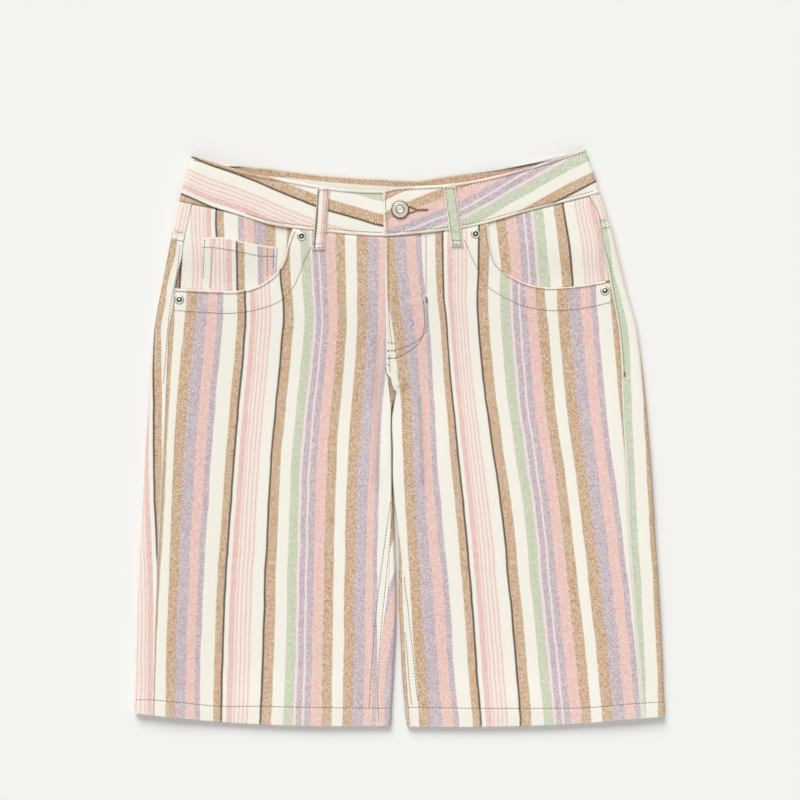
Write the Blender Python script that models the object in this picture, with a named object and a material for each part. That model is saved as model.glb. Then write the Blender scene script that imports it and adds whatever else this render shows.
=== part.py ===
# Knee-length five-pocket denim shorts, buttoned and laid flat, front side up.
# Metres, +Z up. +Y points to the waist, +X to the wearer's left, z = 0 is the table.
# Every panel is a wall of cloth between an outer and an inner face of the same grid.

import math

import bmesh
import bpy
import numpy as np

MM = 0.001

# Cloth and layers
CLOTH = 1.0 * MM            # one layer of denim
HEM = 2.0 * MM              # the leg's hem, turned up twice
HEM_DEEP = 15.5 * MM        # how far the hem is turned up
BAND = 2.0 * MM             # the waistband, two layers with their turnings
TAPE = 1.2 * MM             # a belt loop
LAY = 0.3 * MM              # clearance between pieces that touch
CURVED_GAP = 0.6 * MM       # the same at the inseam and the waistband, whose facets are chords
BACK_GAP = 1.0 * MM         # and at the back band, whose facets are longest
STEP = 0.5 * MM             # rise of the seam turnings where the hem's top edge ends
OVER = CLOTH + LAY          # rise of one piece of denim on top of another

# Rolled edges, where front and back join in one fold
FOLD = 4.4 * MM             # outside radius down the sides and the inner legs
HIP_FOLD = 5.2 * MM         # outside radius at the side, where the waistband begins
CROTCH_FOLD = 1.5 * MM      # outside radius of the inner fold at the crotch
BAND_FOLD = 5.6 * MM        # outside radius of the waistband at the hips
BAND_RISE = 1.6 * MM        # the waistband's underside, on top of its back loops
BAND_WRAP = 6.0 * MM        # how far a front band runs on past the fold, under the hip
BAND_TOP = BAND_RISE + 2 * BAND_FOLD
PANEL_RISE = BAND_TOP - BAND_FOLD - HIP_FOLD    # the back panel's underside at the waistband

# Heights of the front, above the table
SAG = 4.4 * MM              # middle of a leg, where the front lies on the back
SAG_HEM = 7.0 * MM          # the same at the hem
OUTER_ROLL = (25 * MM, 95 * MM)     # from the side fold: level, then sunk to the sag
INNER_ROLL = (10 * MM, 70 * MM)     # from the inner fold, the same

# Levels along Y
CROTCH = 43 * MM
RISE_FROM, RISE_TO = 145 * MM, 187 * MM     # the back leaves the table for the waistband
ROWS = [-225, -182, -149, -111, -75, -62, -47, -10, 22, 31, 37, 42.9, 48, 57, 75, 100]  # of each panel
BACK_ROWS = 6                               # the back's own, up to the yoke
FRONT_ROWS = 3                              # the front's own, up to its top edge
YOKE_ROWS = 4                               # the yoke's
WAIST = 190 * MM            # the front is level with the waistband from here up
FLY_END = 57.5 * MM         # the left front stops lying over the right one
FLY_LAP = 14 * MM           # how far the left front reaches past the middle
FLY_TAPER = 1.2 * MM        # how much less it reaches at its lower end
UNDER_FLY = 13.2 * MM       # reach of the right front, low under the fly
UNDER_BUTTON = -3 * MM      # and higher up, clear of the button
UNDER_STEP = (66 * MM, 84 * MM)     # between these levels
CROTCH_CORNER = 3.0 * MM    # reach of the right front just above the crotch
LIFT_SPREAD = (2 * MM, 30 * MM)     # across these, the fly's lap comes down to the panel
BAND_SPREAD = (16 * MM, 52 * MM)    # across these, the left band's lap comes down
BACK_SEAM = (-3.0 * MM, 2.0 * MM)   # X of the centre back seam, at the crotch and the waist
EDGE_STRIP = 5 * MM         # first column of a front panel, beside its inner edge
BACK_STRIP = 12 * MM        # last columns of a back panel, beside its inner fold
YOKE_SIDES = {-1: 198 * MM, 1: 210.5 * MM}      # the yoke seam at the right and left side fold
YOKE_MIDDLE = 154 * MM      # and where it meets the centre back seam

# Small parts
LOOP_WIDE = 11.5 * MM
LOOP_DROP = 13.5 * MM       # how far a loop runs on below the band
BUTTON_RADIUS = 8.5 * MM
BUTTON_RIM = 0.9 * MM
BUTTON_THICK = 2.8 * MM
BUTTON_PLACE = (0.6 * MM, 217.2 * MM)
POST_RADIUS = 2.0 * MM
HOLE_EYE = 2.6 * MM         # radius of the buttonhole's round end
HOLE_SLIT = 1.0 * MM        # half the width of its slit
HOLE_LONG = 16.0 * MM
RIVET_RADIUS = 4.4 * MM
RIVET_THICK = 1.3 * MM
ARC_STEPS = 6               # facets round a half-round fold

# One row a section, in millimetres. The first name is the height along Y, or the place
# along X in the hem tables; "side" and "seam" are the outer fold and the side seam.
RIGHT_SIDE = [              # y, side, seam
    (-276, -254.6, -235.3),
    (-263, -253.8, -235.0),
    (-151, -250.0, -231.7),
    (-86, -246.9, -227.9),
    (17, -241.0, -223.2),
    (76, -236.8, -221.5),
    (103, -234.5, -220.3),
    (128, -230.4, -216.0),
    (141, -228.1, -214.9),
    (160, -224.2, -211.2),
    (171, -221.9, -208.2),
    (187, -218.6, -206.0),
    (205, -214.9, -202.2),
    (230, -209.9, -197.0),
]
LEFT_SIDE = [
    (-276, 254.2, 235.0),
    (-265, 253.8, 234.4),
    (-170, 249.8, 226.1),
    (-88, 244.5, 219.8),
    (-33, 241.1, 217.0),
    (36, 235.5, 212.7),
    (81, 230.5, 211.3),
    (108, 226.5, 208.6),
    (135, 218.9, 203.6),
    (177, 207.8, 194.9),
    (211, 199.3, 188.2),
    (238, 190.4, 178.5),
]
RIGHT_LEG = [               # y, inseam, inner fold
    (-276, -20.3, -8.9),
    (-248, -20.3, -7.1),
    (-215, -19.0, -5.2),
    (-182, -15.5, -3.7),
    (-149, -11.1, -3.5),
    (-111, -8.7, -4.4),
    (-73, -8.0, -6.2),
    (-47, -7.5, -7.1),
    (22, -7.8, -7.2),
    (31, -8.5, -6.1),
    (43, -9.6, -2.9),
]
LEFT_LEG = [
    (-277, 10.2, 7.1),
    (-231, 6.8, 2.6),
    (-193, 4.7, 0.8),
    (-155, 3.0, -0.8),
    (-111, 1.4, -0.9),
    (-93, -0.5, -1.5),
    (-75, -2.9, -3.4),
    (-62, -5.0, -5.0),
    (-47, -5.7, -5.7),
    (22, -5.9, -5.9),
    (31, -5.1, -5.1),
    (43, -2.5, -2.5),
]
RIGHT_HEM = [(-255, -263.0), (-235, -265.3), (-201, -269.0), (-157, -272.6), (-103, -275.2), (0, -275.7)]
LEFT_HEM = [(0, -276.3), (54, -276.6), (116, -275.6), (164, -273.8), (219, -269.2), (255, -266.3)]
RIGHT_BAND = [              # lower x, lower y, upper x, upper y, from the middle to the hip
    (11.8, 194.6, 11.8, 236.1),
    (-14.9, 192.4, -17.8, 235.9),
    (-47.4, 194.1, -47.4, 237.0),
    (-82.9, 198.0, -77.0, 240.9),
    (-123.8, 203.5, -114.2, 247.8),
    (-153.8, 211.3, -143.8, 253.1),
    (-176.6, 217.7, -168.6, 260.4),
    (-210.7, 226.3, -198.8, 269.1),
]
LEFT_BAND = [
    (-15.2, 191.8, -15.9, 236.2),
    (3.0, 193.2, 3.1, 239.2),
    (20.4, 195.0, 20.6, 240.2),
    (61.5, 200.1, 55.0, 242.8),
    (83.5, 205.0, 79.0, 247.2),
    (115.6, 214.2, 104.5, 253.2),
    (156.4, 224.7, 137.5, 262.6),
    (191.6, 234.0, 177.6, 276.4),
]
BACK_BAND = [               # the same, from hip to hip, between the front bands' turned ends
    (-168.0, 219.5, -167.8, 262.0),
    (-125.0, 215.0, -123.8, 257.6),
    (-73.0, 208.4, -72.6, 251.4),
    (-9.2, 204.0, -9.2, 247.4),
    (17.6, 204.0, 17.6, 246.4),
    (45.0, 207.0, 44.1, 250.2),
    (97.0, 214.4, 95.9, 257.2),
    (160.0, 227.5, 148.4, 270.0),
]
RIGHT_MOUTH = [(-101.8, 200.5), (-105.9, 187.0), (-109.4, 172.0), (-114.8, 161.4), (-123.0, 153.2),
               (-134.5, 145.7), (-150.0, 141.2), (-178.0, 140.8), (-218.0, 143.1)]
LEFT_MOUTH = [(83.6, 205.0), (86.3, 182.7), (92.7, 166.3), (107.3, 153.5), (125.5, 145.3),
              (142.0, 142.6), (170.0, 144.0), (204.0, 150.0)]
RIGHT_FACING = [(-88, 176), (-100, 152), (-120, 136), (-150, 129), (-216, 130)]     # its hidden edge
LEFT_FACING = [(70, 178), (82, 154), (104, 139), (140, 130), (208, 136)]
COIN_TOP = [(-188, 191.0), (-167, 191.0), (-143, 185.9), (-116.6, 181.9)]
COIN_DEEP = 8 * MM          # how far the coin pocket runs on under the front
COIN_SIDES = (116.6 * MM, 187.8 * MM)       # across, to its inner and outer edge
COIN_LEAN = 0.08            # slant of its inner edge
FACING_SINK = (4 * MM, 45 * MM)     # from the mouth, where a facing comes up level with the seam
LOOPS_FRONT = {"belt_loop_front_right": (-77.2, -72.4), "belt_loop_front_left": (55.0, 47.2)}
LOOPS_BACK = {"belt_loop_back_right": -105.0, "belt_loop_back_middle": 4.0, "belt_loop_back_left": 105.0}
RIVETS = {"rivet_right_inner": (-93.4, 192.2), "rivet_right_outer": (-210.1, 132.0),
          "rivet_left_inner": (72.5, 194.5), "rivet_left_outer": (196.0, 140.5)}

FINISHES = {                # red, green, blue, roughness, metallic
    "ecru stripe denim": (0.79, 0.68, 0.57, 0.85, 0.0),
    "rose stripe denim": (0.77, 0.60, 0.54, 0.85, 0.0),
    "sand stripe denim": (0.60, 0.45, 0.31, 0.85, 0.0),
    "lilac stripe denim": (0.58, 0.49, 0.52, 0.85, 0.0),
    "sage stripe denim": (0.59, 0.62, 0.47, 0.85, 0.0),
    "old nickel": (0.52, 0.49, 0.45, 0.35, 1.0),
}


def clear_scene():
    for thing in list(bpy.data.objects):
        bpy.data.objects.remove(thing, do_unlink=True)


def smooth(low, high, value):
    t = min(max((value - low) / (high - low), 0.0), 1.0)
    return t * t * (3 - 2 * t)


def mix(a, b, t):
    return a + (b - a) * t


def through(table, column, sign=1):
    """A smooth function through one column of a table, in metres. The slope at each row is
    that of its neighbours, so a straight stretch stays straight."""
    rows = sorted((row[0] * sign, row[column]) for row in table)
    xs = np.array([row[0] for row in rows]) * MM
    ys = np.array([row[1] for row in rows]) * MM
    slopes = np.gradient(ys, xs)

    def value(x):
        x = min(max(x, xs[0]), xs[-1])
        i = min(int(np.searchsorted(xs, x, side="right")) - 1, len(xs) - 2)
        h = xs[i + 1] - xs[i]
        t = (x - xs[i]) / h
        a = mix(ys[i], ys[i + 1], t * t * (3 - 2 * t))
        return a + h * t * (1 - t) * ((1 - t) * slopes[i] - t * slopes[i + 1])
    return value


class Half:
    """One half of the shorts. Its own across coordinate grows from the middle to the side,
    so it is X for the left half and -X for the right one."""

    def __init__(self, sign, side, leg, hem, band, mouth, facing):
        self.sign = sign
        self.side = lambda y, f=through(side, 1): sign * f(y)
        self.seam = lambda y, f=through(side, 2): sign * f(y)
        self.inseam = lambda y, f=through(leg, 1): sign * f(y)
        self.inner = lambda y, f=through(leg, 2): sign * f(y)
        self.hem = through(hem, 1, sign)
        self.band_line = through([(row[0], row[1]) for row in band], 1, sign)
        self.mouth_line = through(mouth, 1, sign)
        self.mouth_end = sign * mouth[0][0] * MM
        self.mouth = [sign * row[0] * MM for row in mouth]
        self.facing_line = through(facing, 1, sign)
        self.facing_end = sign * facing[0][0] * MM
        self.band = band

    def roll(self, y):
        """Radius of the side fold."""
        return mix(FOLD, HIP_FOLD, smooth(RISE_FROM - 60 * MM, RISE_TO, y))

    def fold(self, y):
        """Radius of the inner fold."""
        return mix(CROTCH_FOLD, FOLD, smooth(CROTCH, CROTCH - 80 * MM, y))

    def middle_height(self, y):
        """Height of the front on the middle line, above the crotch."""
        low = 2 * CROTCH_FOLD
        return mix(low, BAND_TOP - BAND_FOLD + HIP_FOLD, smooth(CROTCH, RISE_FROM + 15 * MM, y))

    def height(self, across, y):
        """Height of the front's outer face."""
        side = self.side(y) - self.roll(y)
        at_side = mix(0, PANEL_RISE, smooth(RISE_FROM, RISE_TO, y)) + 2 * self.roll(y)
        if y > CROTCH:
            middle = 0.0
            at_middle = self.middle_height(y)
        else:
            middle = self.inner(y) + self.fold(y)
            at_middle = 2 * self.fold(y)
        sag = mix(SAG, SAG_HEM, smooth(-215 * MM, -262 * MM, y))
        sag = mix(sag, at_side, smooth(CROTCH, RISE_FROM, y))
        return (sag + (at_side - sag) * (1 - smooth(*OUTER_ROLL, side - across))
                + (at_middle - sag) * (1 - smooth(*INNER_ROLL, across - middle)))

    def place(self, across, y, z):
        return (self.sign * across, y, z)

    def front(self, reach, y, depth):
        """A point of the front's layer. reach is the distance across, measured along the
        cloth where it rolls over the inner fold."""
        r = self.fold(y)
        axis = self.inner(y) + r if y <= CROTCH else -math.inf
        if reach >= axis:
            return self.place(reach, y, self.height(reach, y) - depth)
        turn = (axis - reach) / r
        return self.place(axis - (r - depth) * math.sin(turn), y, r + (r - depth) * math.cos(turn))

    def front_reach(self, across, y):
        """The reach of a point that lies at this distance across."""
        r = self.fold(y)
        axis = self.inner(y) + r
        if y > CROTCH or across >= axis:
            return across
        return axis - r * math.asin(min((axis - across) / r, 1.0))

    def back(self, run, y, depth):
        """A point of the back's layer. run is the distance along the cloth from the middle
        of the side fold's top: negative on the front side, then round the fold, along the
        table, round the inner fold and on to the front side again."""
        roll = self.roll(y)
        axis = self.side(y) - roll
        base = mix(0, PANEL_RISE, smooth(RISE_FROM, RISE_TO, y))
        half = math.pi * roll
        if run < 0:
            return self.place(axis + run, y, self.height(axis + run, y) - depth)
        if run < half:
            turn = run / roll
            r = roll - depth
            return self.place(axis + r * math.sin(turn), y, base + roll + r * math.cos(turn))
        r = self.fold(y)
        inner_axis = self.inner(y) + r if y <= CROTCH else -math.inf
        across = axis - (run - half)
        if across >= inner_axis:
            return self.place(across, y, base + depth)
        turn = (inner_axis - across) / r
        if turn < math.pi:
            return self.place(inner_axis - (r - depth) * math.sin(turn), y, r - (r - depth) * math.cos(turn))
        across = inner_axis + (turn - math.pi) * r
        return self.place(across, y, self.height(across, y) - depth)


RIGHT = Half(-1, RIGHT_SIDE, RIGHT_LEG, RIGHT_HEM, RIGHT_BAND, RIGHT_MOUTH, RIGHT_FACING)
LEFT = Half(1, LEFT_SIDE, LEFT_LEG, LEFT_HEM, LEFT_BAND, LEFT_MOUTH, LEFT_FACING)


def finish_of(name):
    material = bpy.data.materials.get(name)
    if material is None:
        red, green, blue, roughness, metallic = FINISHES[name]
        material = bpy.data.materials.new(name)
        material.use_nodes = True
        shader = material.node_tree.nodes["Principled BSDF"]
        shader.inputs["Base Color"].default_value = (red, green, blue, 1)
        shader.inputs["Roughness"].default_value = roughness
        shader.inputs["Metallic"].default_value = metallic
    return material


def add_part(name, mesh_builder, finish):
    bmesh.ops.recalc_face_normals(mesh_builder, faces=mesh_builder.faces)
    mesh = bpy.data.meshes.new(name)
    mesh_builder.to_mesh(mesh)
    mesh_builder.free()
    part = bpy.data.objects.new(name, mesh)
    bpy.context.scene.collection.objects.link(part)
    part.data.materials.append(finish_of(finish))
    return part


def wall(name, outer, inner, finish):
    """A closed wall between two grids of points with the same rows and columns."""
    builder = bmesh.new()
    faces = [[[builder.verts.new(point) for point in row] for row in grid] for grid in (outer, inner)]
    rows, columns = len(outer), len(outer[0])
    for grid in faces:
        for i in range(rows - 1):
            for j in range(columns - 1):
                builder.faces.new((grid[i][j], grid[i][j + 1], grid[i + 1][j + 1], grid[i + 1][j]))
    rim = [(0, j) for j in range(columns - 1)] + [(i, columns - 1) for i in range(rows - 1)]
    rim += [(rows - 1, j) for j in range(columns - 1, 0, -1)] + [(i, 0) for i in range(rows - 1, 0, -1)]
    for (i, j), (k, m) in zip(rim, rim[1:] + rim[:1]):
        builder.faces.new((faces[0][i][j], faces[0][k][m], faces[1][k][m], faces[1][i][j]))
    return add_part(name, builder, finish)


def settle(edge, across_at, start):
    """The height along Y where a column of a panel meets an edge line."""
    y = start
    for _ in range(40):
        y = mix(y, edge(across_at(y)), 0.6)
    return y


def levels(low, upper_rows):
    """Heights of a panel's rows: at the hem's turning, at the rows that front and back
    share, and its own above them."""
    turned = low + HEM_DEEP
    return [low, turned, turned + STEP] + [y * MM for y in ROWS] + upper_rows


def depths(rows):
    """Thickness of a panel at each of its rows."""
    return [HEM, HEM] + [CLOTH] * (len(rows) - 2)


# Front panels

def right_front_edge(y):
    """The right front's inner edge: under the fly, along the crotch seam, down the inseam."""
    if y <= CROTCH:
        return RIGHT.inseam(y)
    if y >= FLY_END:
        return mix(UNDER_FLY, UNDER_BUTTON, smooth(*UNDER_STEP, y))
    by_crotch = mix(RIGHT.inseam(CROTCH), CROTCH_CORNER, smooth(CROTCH, CROTCH + 3 * MM, y))
    along = mix(by_crotch, UNDER_FLY, smooth(CROTCH + 2 * MM, FLY_END, y))
    return max(along, LAY - left_front_edge(y))


def left_front_edge(y):
    """The left front's inner edge: the fly's edge, then the crotch seam and the inseam."""
    if y <= CROTCH:
        return LEFT.inseam(y)
    straight = mix(FLY_TAPER - FLY_LAP, -FLY_LAP, smooth(FLY_END, WAIST, y))
    return mix(LEFT.inseam(CROTCH), straight, smooth(CROTCH, FLY_END, y))


def fly_lift(across, y):
    """Rise of the left front where it lies over the right one."""
    over = 1 - smooth(*LIFT_SPREAD, across)
    return (OVER + LAY) * over * smooth(CROTCH, FLY_END - 4 * MM, y)


def front_panel(name, half, inner_edge, lift, finish):
    def reach_at(part, y):
        low = half.front_reach(inner_edge(y), y) + CURVED_GAP / 2
        return mix(low, half.seam(y) - LAY / 2, part)

    def top_edge(across):
        if across <= half.mouth_end:
            return half.band_line(across) - CURVED_GAP
        return half.mouth_line(across)

    inner_most = inner_edge(WAIST)
    tops = [inner_most, inner_most + EDGE_STRIP]
    tops += [mix(inner_most, half.mouth_end, i / 6) for i in range(1, 7)] + half.mouth[1:]
    outer, inner = [], []
    for top in tops:
        y_top = top_edge(top)
        low, high = reach_at(0, y_top), reach_at(1, y_top)
        part = min(max((top - low) / (high - low), 0.0), 1.0)
        y_top = settle(top_edge, lambda y: reach_at(part, y), y_top)
        y_hem = settle(half.hem, lambda y: reach_at(part, y), -270 * MM)
        rows = levels(y_hem, [mix(ROWS[-1] * MM, y_top, i / FRONT_ROWS) for i in range(1, FRONT_ROWS + 1)])
        outer.append([half.front(reach_at(part, y), y, -lift(reach_at(part, y), y)) for y in rows])
        inner.append([half.front(reach_at(part, y), y, d - lift(reach_at(part, y), y))
                      for y, d in zip(rows, depths(rows))])
    return wall(name, outer, inner, finish)


# Back panels

def middle_back(half, y):
    """Distance across of the centre back seam, bent away from the other leg at the crotch."""
    seam = half.sign * mix(*BACK_SEAM, smooth(CROTCH, WAIST, y)) + LAY / 2
    leg = half.inner(CROTCH) + CROTCH_FOLD
    return mix(leg, seam, smooth(CROTCH, CROTCH + 10 * MM, y))


def back_band_edge(x):
    rows = [(row[0], row[1]) for row in back_band_rows()]
    return through(rows, 1)(x)


def back_runs(half, y):
    """The runs of the back panel's columns at one height."""
    roll = half.roll(y)
    axis = half.side(y) - roll
    bend = math.pi * roll
    seam = half.seam(y) + LAY / 2
    start = seam - axis
    if start > 0:
        start = roll * math.asin(min(start / roll, 1.0))
    first = max(0.0, start + 1 * MM)
    r = half.fold(y)
    if y > CROTCH:
        flat_end = axis - middle_back(half, y) + bend
        end = flat_end
    else:
        flat_end = axis - (half.inner(y) + r) + bend
        inseam = half.inseam(y)
        from_axis = half.inner(y) + r - inseam
        if from_axis > 0:
            past = math.pi - math.asin(min(from_axis / r, 1.0))
            full = flat_end + r * past - CURVED_GAP / 2
        else:
            full = flat_end + math.pi * r - from_axis - CURVED_GAP / 2
        end = mix(flat_end, full, smooth(CROTCH, CROTCH - 9 * MM, y))
    anchor = flat_end - BACK_STRIP
    runs = [start, (start + first) / 2]
    runs += [mix(first, bend, i / ARC_STEPS) for i in range(ARC_STEPS)]
    runs += [mix(bend, anchor, i / 6) for i in range(6)]
    runs += [mix(anchor, end, i / 8) for i in range(9)]
    return runs


def yoke_seam(half, run, y):
    """The seam falls from the side fold to the middle, square to the fold."""
    bend = math.pi * half.roll(y)
    width = half.side(y) - half.roll(y) + bend / 2
    return mix(YOKE_SIDES[half.sign], YOKE_MIDDLE, abs(run - bend / 2) / width)


def back_top(half, run, y):
    axis = half.side(y) - half.roll(y)
    bend = math.pi * half.roll(y)
    at_front = half.band_line(min(axis + min(run, 0), half.side(y))) - CURVED_GAP
    at_back = back_band_edge(half.sign * (axis - max(run - bend, 0))) - BACK_GAP
    return mix(at_front, at_back, smooth(0, bend, run))


def back_hem(half, run, y):
    x, _, _ = half.back(run, y, 0)
    return half.hem(abs(x) if half.sign * x > 0 else 0)


def meet(half, edge, column, y):
    """The height along Y where a column of the back meets an edge line."""
    for _ in range(30):
        y = mix(y, edge(half, back_runs(half, y)[column], y), 0.6)
    return y


def back_piece(name, half, rows_of, thicknesses, finish):
    outer, inner = [], []
    for column in range(len(back_runs(half, 0.0))):
        rows = rows_of(column)
        outer.append([half.back(back_runs(half, y)[column], y, 0) for y in rows])
        inner.append([half.back(back_runs(half, y)[column], y, d) for y, d in zip(rows, thicknesses(rows))])
    return wall(name, outer, inner, finish)


def back_panel(name, half, finish):
    def rows_of(column):
        low = meet(half, back_hem, column, -270 * MM)
        high = meet(half, yoke_seam, column, 180 * MM) - CURVED_GAP / 2
        return levels(low, [mix(ROWS[-1] * MM, high, i / BACK_ROWS) for i in range(1, BACK_ROWS + 1)])
    return back_piece(name, half, rows_of, depths, finish)


def yoke(name, half, finish):
    def rows_of(column):
        low = meet(half, yoke_seam, column, 180 * MM) + CURVED_GAP / 2
        high = meet(half, back_top, column, 215 * MM)
        return [mix(low, high, i / YOKE_ROWS) for i in range(YOKE_ROWS + 1)]
    return back_piece(name, half, rows_of, lambda rows: [CLOTH] * len(rows), finish)


# Pockets

def from_mouth(half, across, y):
    """Distance from the pocket's mouth, on the side where the facing shows."""
    if across < half.mouth_end or y < half.mouth_line(across):
        return 0.0
    steps = np.linspace(half.mouth_end, half.mouth[-1], 60)
    return min(math.hypot(across - a, y - half.mouth_line(a)) for a in steps)


def facing_depth(half, layers, across, y):
    """The facing lies this much lower than the front, and less towards the hip."""
    return mix(layers * OVER + 2 * LAY, 2 * LAY, smooth(*FACING_SINK, from_mouth(half, across, y)))


def patch(name, half, inner_edge, outer_edge, low_edge, high_edge, depth, columns, rows, finish):
    outer, inner = [], []
    for i in range(columns + 1):
        def across_at(y, part=i / columns):
            return mix(inner_edge(y), outer_edge(y), part)
        low = settle(low_edge, across_at, 140 * MM)
        high = settle(high_edge, across_at, 190 * MM)
        points = [(across_at(mix(low, high, j / rows)), mix(low, high, j / rows)) for j in range(rows + 1)]
        outer.append([half.front(a, y, depth(a, y)) for a, y in points])
        inner.append([half.front(a, y, depth(a, y) + CLOTH) for a, y in points])
    return wall(name, outer, inner, finish)


def pocket_facing(name, half, layers, finish):
    return patch(name, half, lambda y: half.facing_end, lambda y: half.seam(y) - LAY / 2,
                 half.facing_line, lambda a: half.band_line(a) - CURVED_GAP,
                 lambda a, y: facing_depth(half, layers, a, y), 9, 7, finish)


def coin_pocket(name, half, finish):
    top = through(COIN_TOP, 1, -1)
    corner, far_side = COIN_SIDES
    return patch(name, half, lambda y: corner - COIN_LEAN * (y - top(corner)), lambda y: far_side,
                 lambda a: half.mouth_line(a) - COIN_DEEP, top,
                 lambda a, y: facing_depth(half, 2, a, y) - OVER, 8, 5, finish)


# Waistband

def band_ends(half):
    """The fold at the hip: its lower and upper point, and the direction outwards."""
    lower_x, lower_y, upper_x, upper_y = [value * MM for value in half.band[-1]]
    length = math.hypot(upper_x - lower_x, upper_y - lower_y)
    out = (half.sign * (upper_y - lower_y) / length, -half.sign * (upper_x - lower_x) / length)
    return (lower_x, lower_y), (upper_x, upper_y), out


def back_band_rows():
    """The back band's table, with its two ends set against the front bands."""
    ends = []
    for half in (RIGHT, LEFT):
        lower, upper, out = band_ends(half)
        inward = BAND_FOLD + BAND_WRAP + LAY
        ends.append(tuple((point[axis] - out[axis] * inward) / MM for point in (lower, upper)
                          for axis in (0, 1)))
    return [ends[0]] + BACK_BAND + [ends[1]]


def band_grid(stations, height, across_steps):
    """Two grids of a flat band: rows across it, a column for each station."""
    outer, inner = [], []
    for lower_x, lower_y, upper_x, upper_y in stations:
        points = [(mix(lower_x, upper_x, k / across_steps) * MM, mix(lower_y, upper_y, k / across_steps) * MM)
                  for k in range(across_steps + 1)]
        outer.append([(x, y, height(x, y)) for x, y in points])
        inner.append([(x, y, height(x, y) - BAND) for x, y in points])
    return outer, inner


def band_overlap(x):
    """Rise of the left band's end, where it lies over the right band's."""
    return (BAND + LAY) * (1 - smooth(*BAND_SPREAD, x))


def between(stations, parts):
    """Stations with some in between, so that a bend along the band stays round."""
    rows = []
    for one, two in zip(stations, stations[1:]):
        rows += [tuple(mix(a, b, i / parts) for a, b in zip(one, two)) for i in range(parts)]
    return rows + [stations[-1]]


def front_band(name, half, lift, finish):
    lower, upper, out = band_ends(half)
    inset = BAND_FOLD / MM
    last = (half.band[-1][0] - out[0] * inset, half.band[-1][1] - out[1] * inset,
            half.band[-1][2] - out[0] * inset, half.band[-1][3] - out[1] * inset)
    stations = between(half.band[:-1] + [last], 2)
    steps = 3
    outer, inner = band_grid(stations, lambda x, y: BAND_TOP + lift(x), steps)
    middle = BAND_TOP - BAND_FOLD

    def turned(radius, turn, run):
        row = []
        for k in range(steps + 1):
            x = mix(last[0], last[2], k / steps) * MM
            y = mix(last[1], last[3], k / steps) * MM
            along = radius * math.sin(turn) - run
            row.append((x + out[0] * along, y + out[1] * along, middle + radius * math.cos(turn)))
        return row

    for i in range(1, ARC_STEPS + 1):
        turn = math.pi * i / ARC_STEPS
        outer.append(turned(BAND_FOLD, turn, 0))
        inner.append(turned(BAND_FOLD - BAND, turn, 0))
    outer.append(turned(BAND_FOLD, math.pi, BAND_WRAP))
    inner.append(turned(BAND_FOLD - BAND, math.pi, BAND_WRAP))
    return wall(name, outer, inner, finish)


def back_band(name, finish):
    outer, inner = band_grid(between(back_band_rows(), 2), lambda x, y: BAND_RISE + BAND, 3)
    return wall(name, outer, inner, finish)


def cut_buttonhole(band):
    """A round eye and a slit through the left band's end."""
    x, y = BUTTON_PLACE
    builder = bmesh.new()
    outline = []
    start = math.asin(HOLE_SLIT / HOLE_EYE)
    for i in range(17):
        turn = start + (2 * math.pi - 2 * start) * i / 16
        outline.append((x + HOLE_EYE * math.cos(turn), y + HOLE_EYE * math.sin(turn)))
    outline += [(x + HOLE_LONG, y - HOLE_SLIT), (x + HOLE_LONG, y + HOLE_SLIT)]
    low = [builder.verts.new((a, b, BAND_TOP - 4 * MM)) for a, b in outline]
    face = builder.faces.new(low)
    raised = bmesh.ops.extrude_face_region(builder, geom=[face])["geom"]
    bmesh.ops.translate(builder, vec=(0, 0, 10 * MM),
                        verts=[v for v in raised if isinstance(v, bmesh.types.BMVert)])
    cutter = add_part("buttonhole_cutter", builder, "old nickel")
    cutter.hide_render = True
    cutter.display_type = "WIRE"
    cut = band.modifiers.new("buttonhole", "BOOLEAN")
    cut.operation = "DIFFERENCE"
    cut.solver = "EXACT"
    cut.object = cutter


# Belt loops, button and rivets

def band_edges(half):
    """The front band's lower and upper line."""
    upper = through([(row[2], row[3]) for row in half.band], 1, half.sign)
    return half.band_line, upper


def front_loop(name, lower, upper, finish):
    """A loop on the band and on the top of the front panel."""
    half = LEFT if lower > 0 else RIGHT
    band_low, band_high = band_edges(half)
    outer, inner = [], []
    for side in (-0.5, 0, 0.5):
        x_top = upper * MM + side * LOOP_WIDE
        x_low = lower * MM + side * LOOP_WIDE
        seam = band_low(abs(x_low))
        top = band_high(abs(x_top)) + 0.5 * MM
        rows = [seam - LOOP_DROP, seam - 5 * MM, seam - 2 * MM, seam + 6 * MM, mix(seam, top, 0.6), top]
        points = []
        for y in rows:
            x = mix(x_low, x_top, (y - rows[0]) / (top - rows[0]))
            panel = half.height(abs(x), y) + (fly_lift(x, y) if half is LEFT else 0)
            band = BAND_TOP + (band_overlap(x) if half is LEFT else 0)
            points.append((x, y, mix(panel, band, smooth(seam - 5 * MM, seam - 2 * MM, y)) + LAY))
        outer.append([(x, y, z + TAPE) for x, y, z in points])
        inner.append(points)
    return wall(name, outer, inner, finish)


def back_loop(name, x, finish):
    """A loop under the back band, flat on the table."""
    upper = through([(row[2], row[3]) for row in back_band_rows()], 1)
    low, high = back_band_edge(x * MM) - LOOP_DROP, upper(x * MM) + 0.5 * MM
    columns = [x * MM - LOOP_WIDE / 2, x * MM, x * MM + LOOP_WIDE / 2]
    rows = [mix(low, high, i / 4) for i in range(5)]
    outer = [[(a, y, 0.0) for y in rows] for a in columns]
    inner = [[(a, y, TAPE) for y in rows] for a in columns]
    return wall(name, outer, inner, finish)


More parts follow.
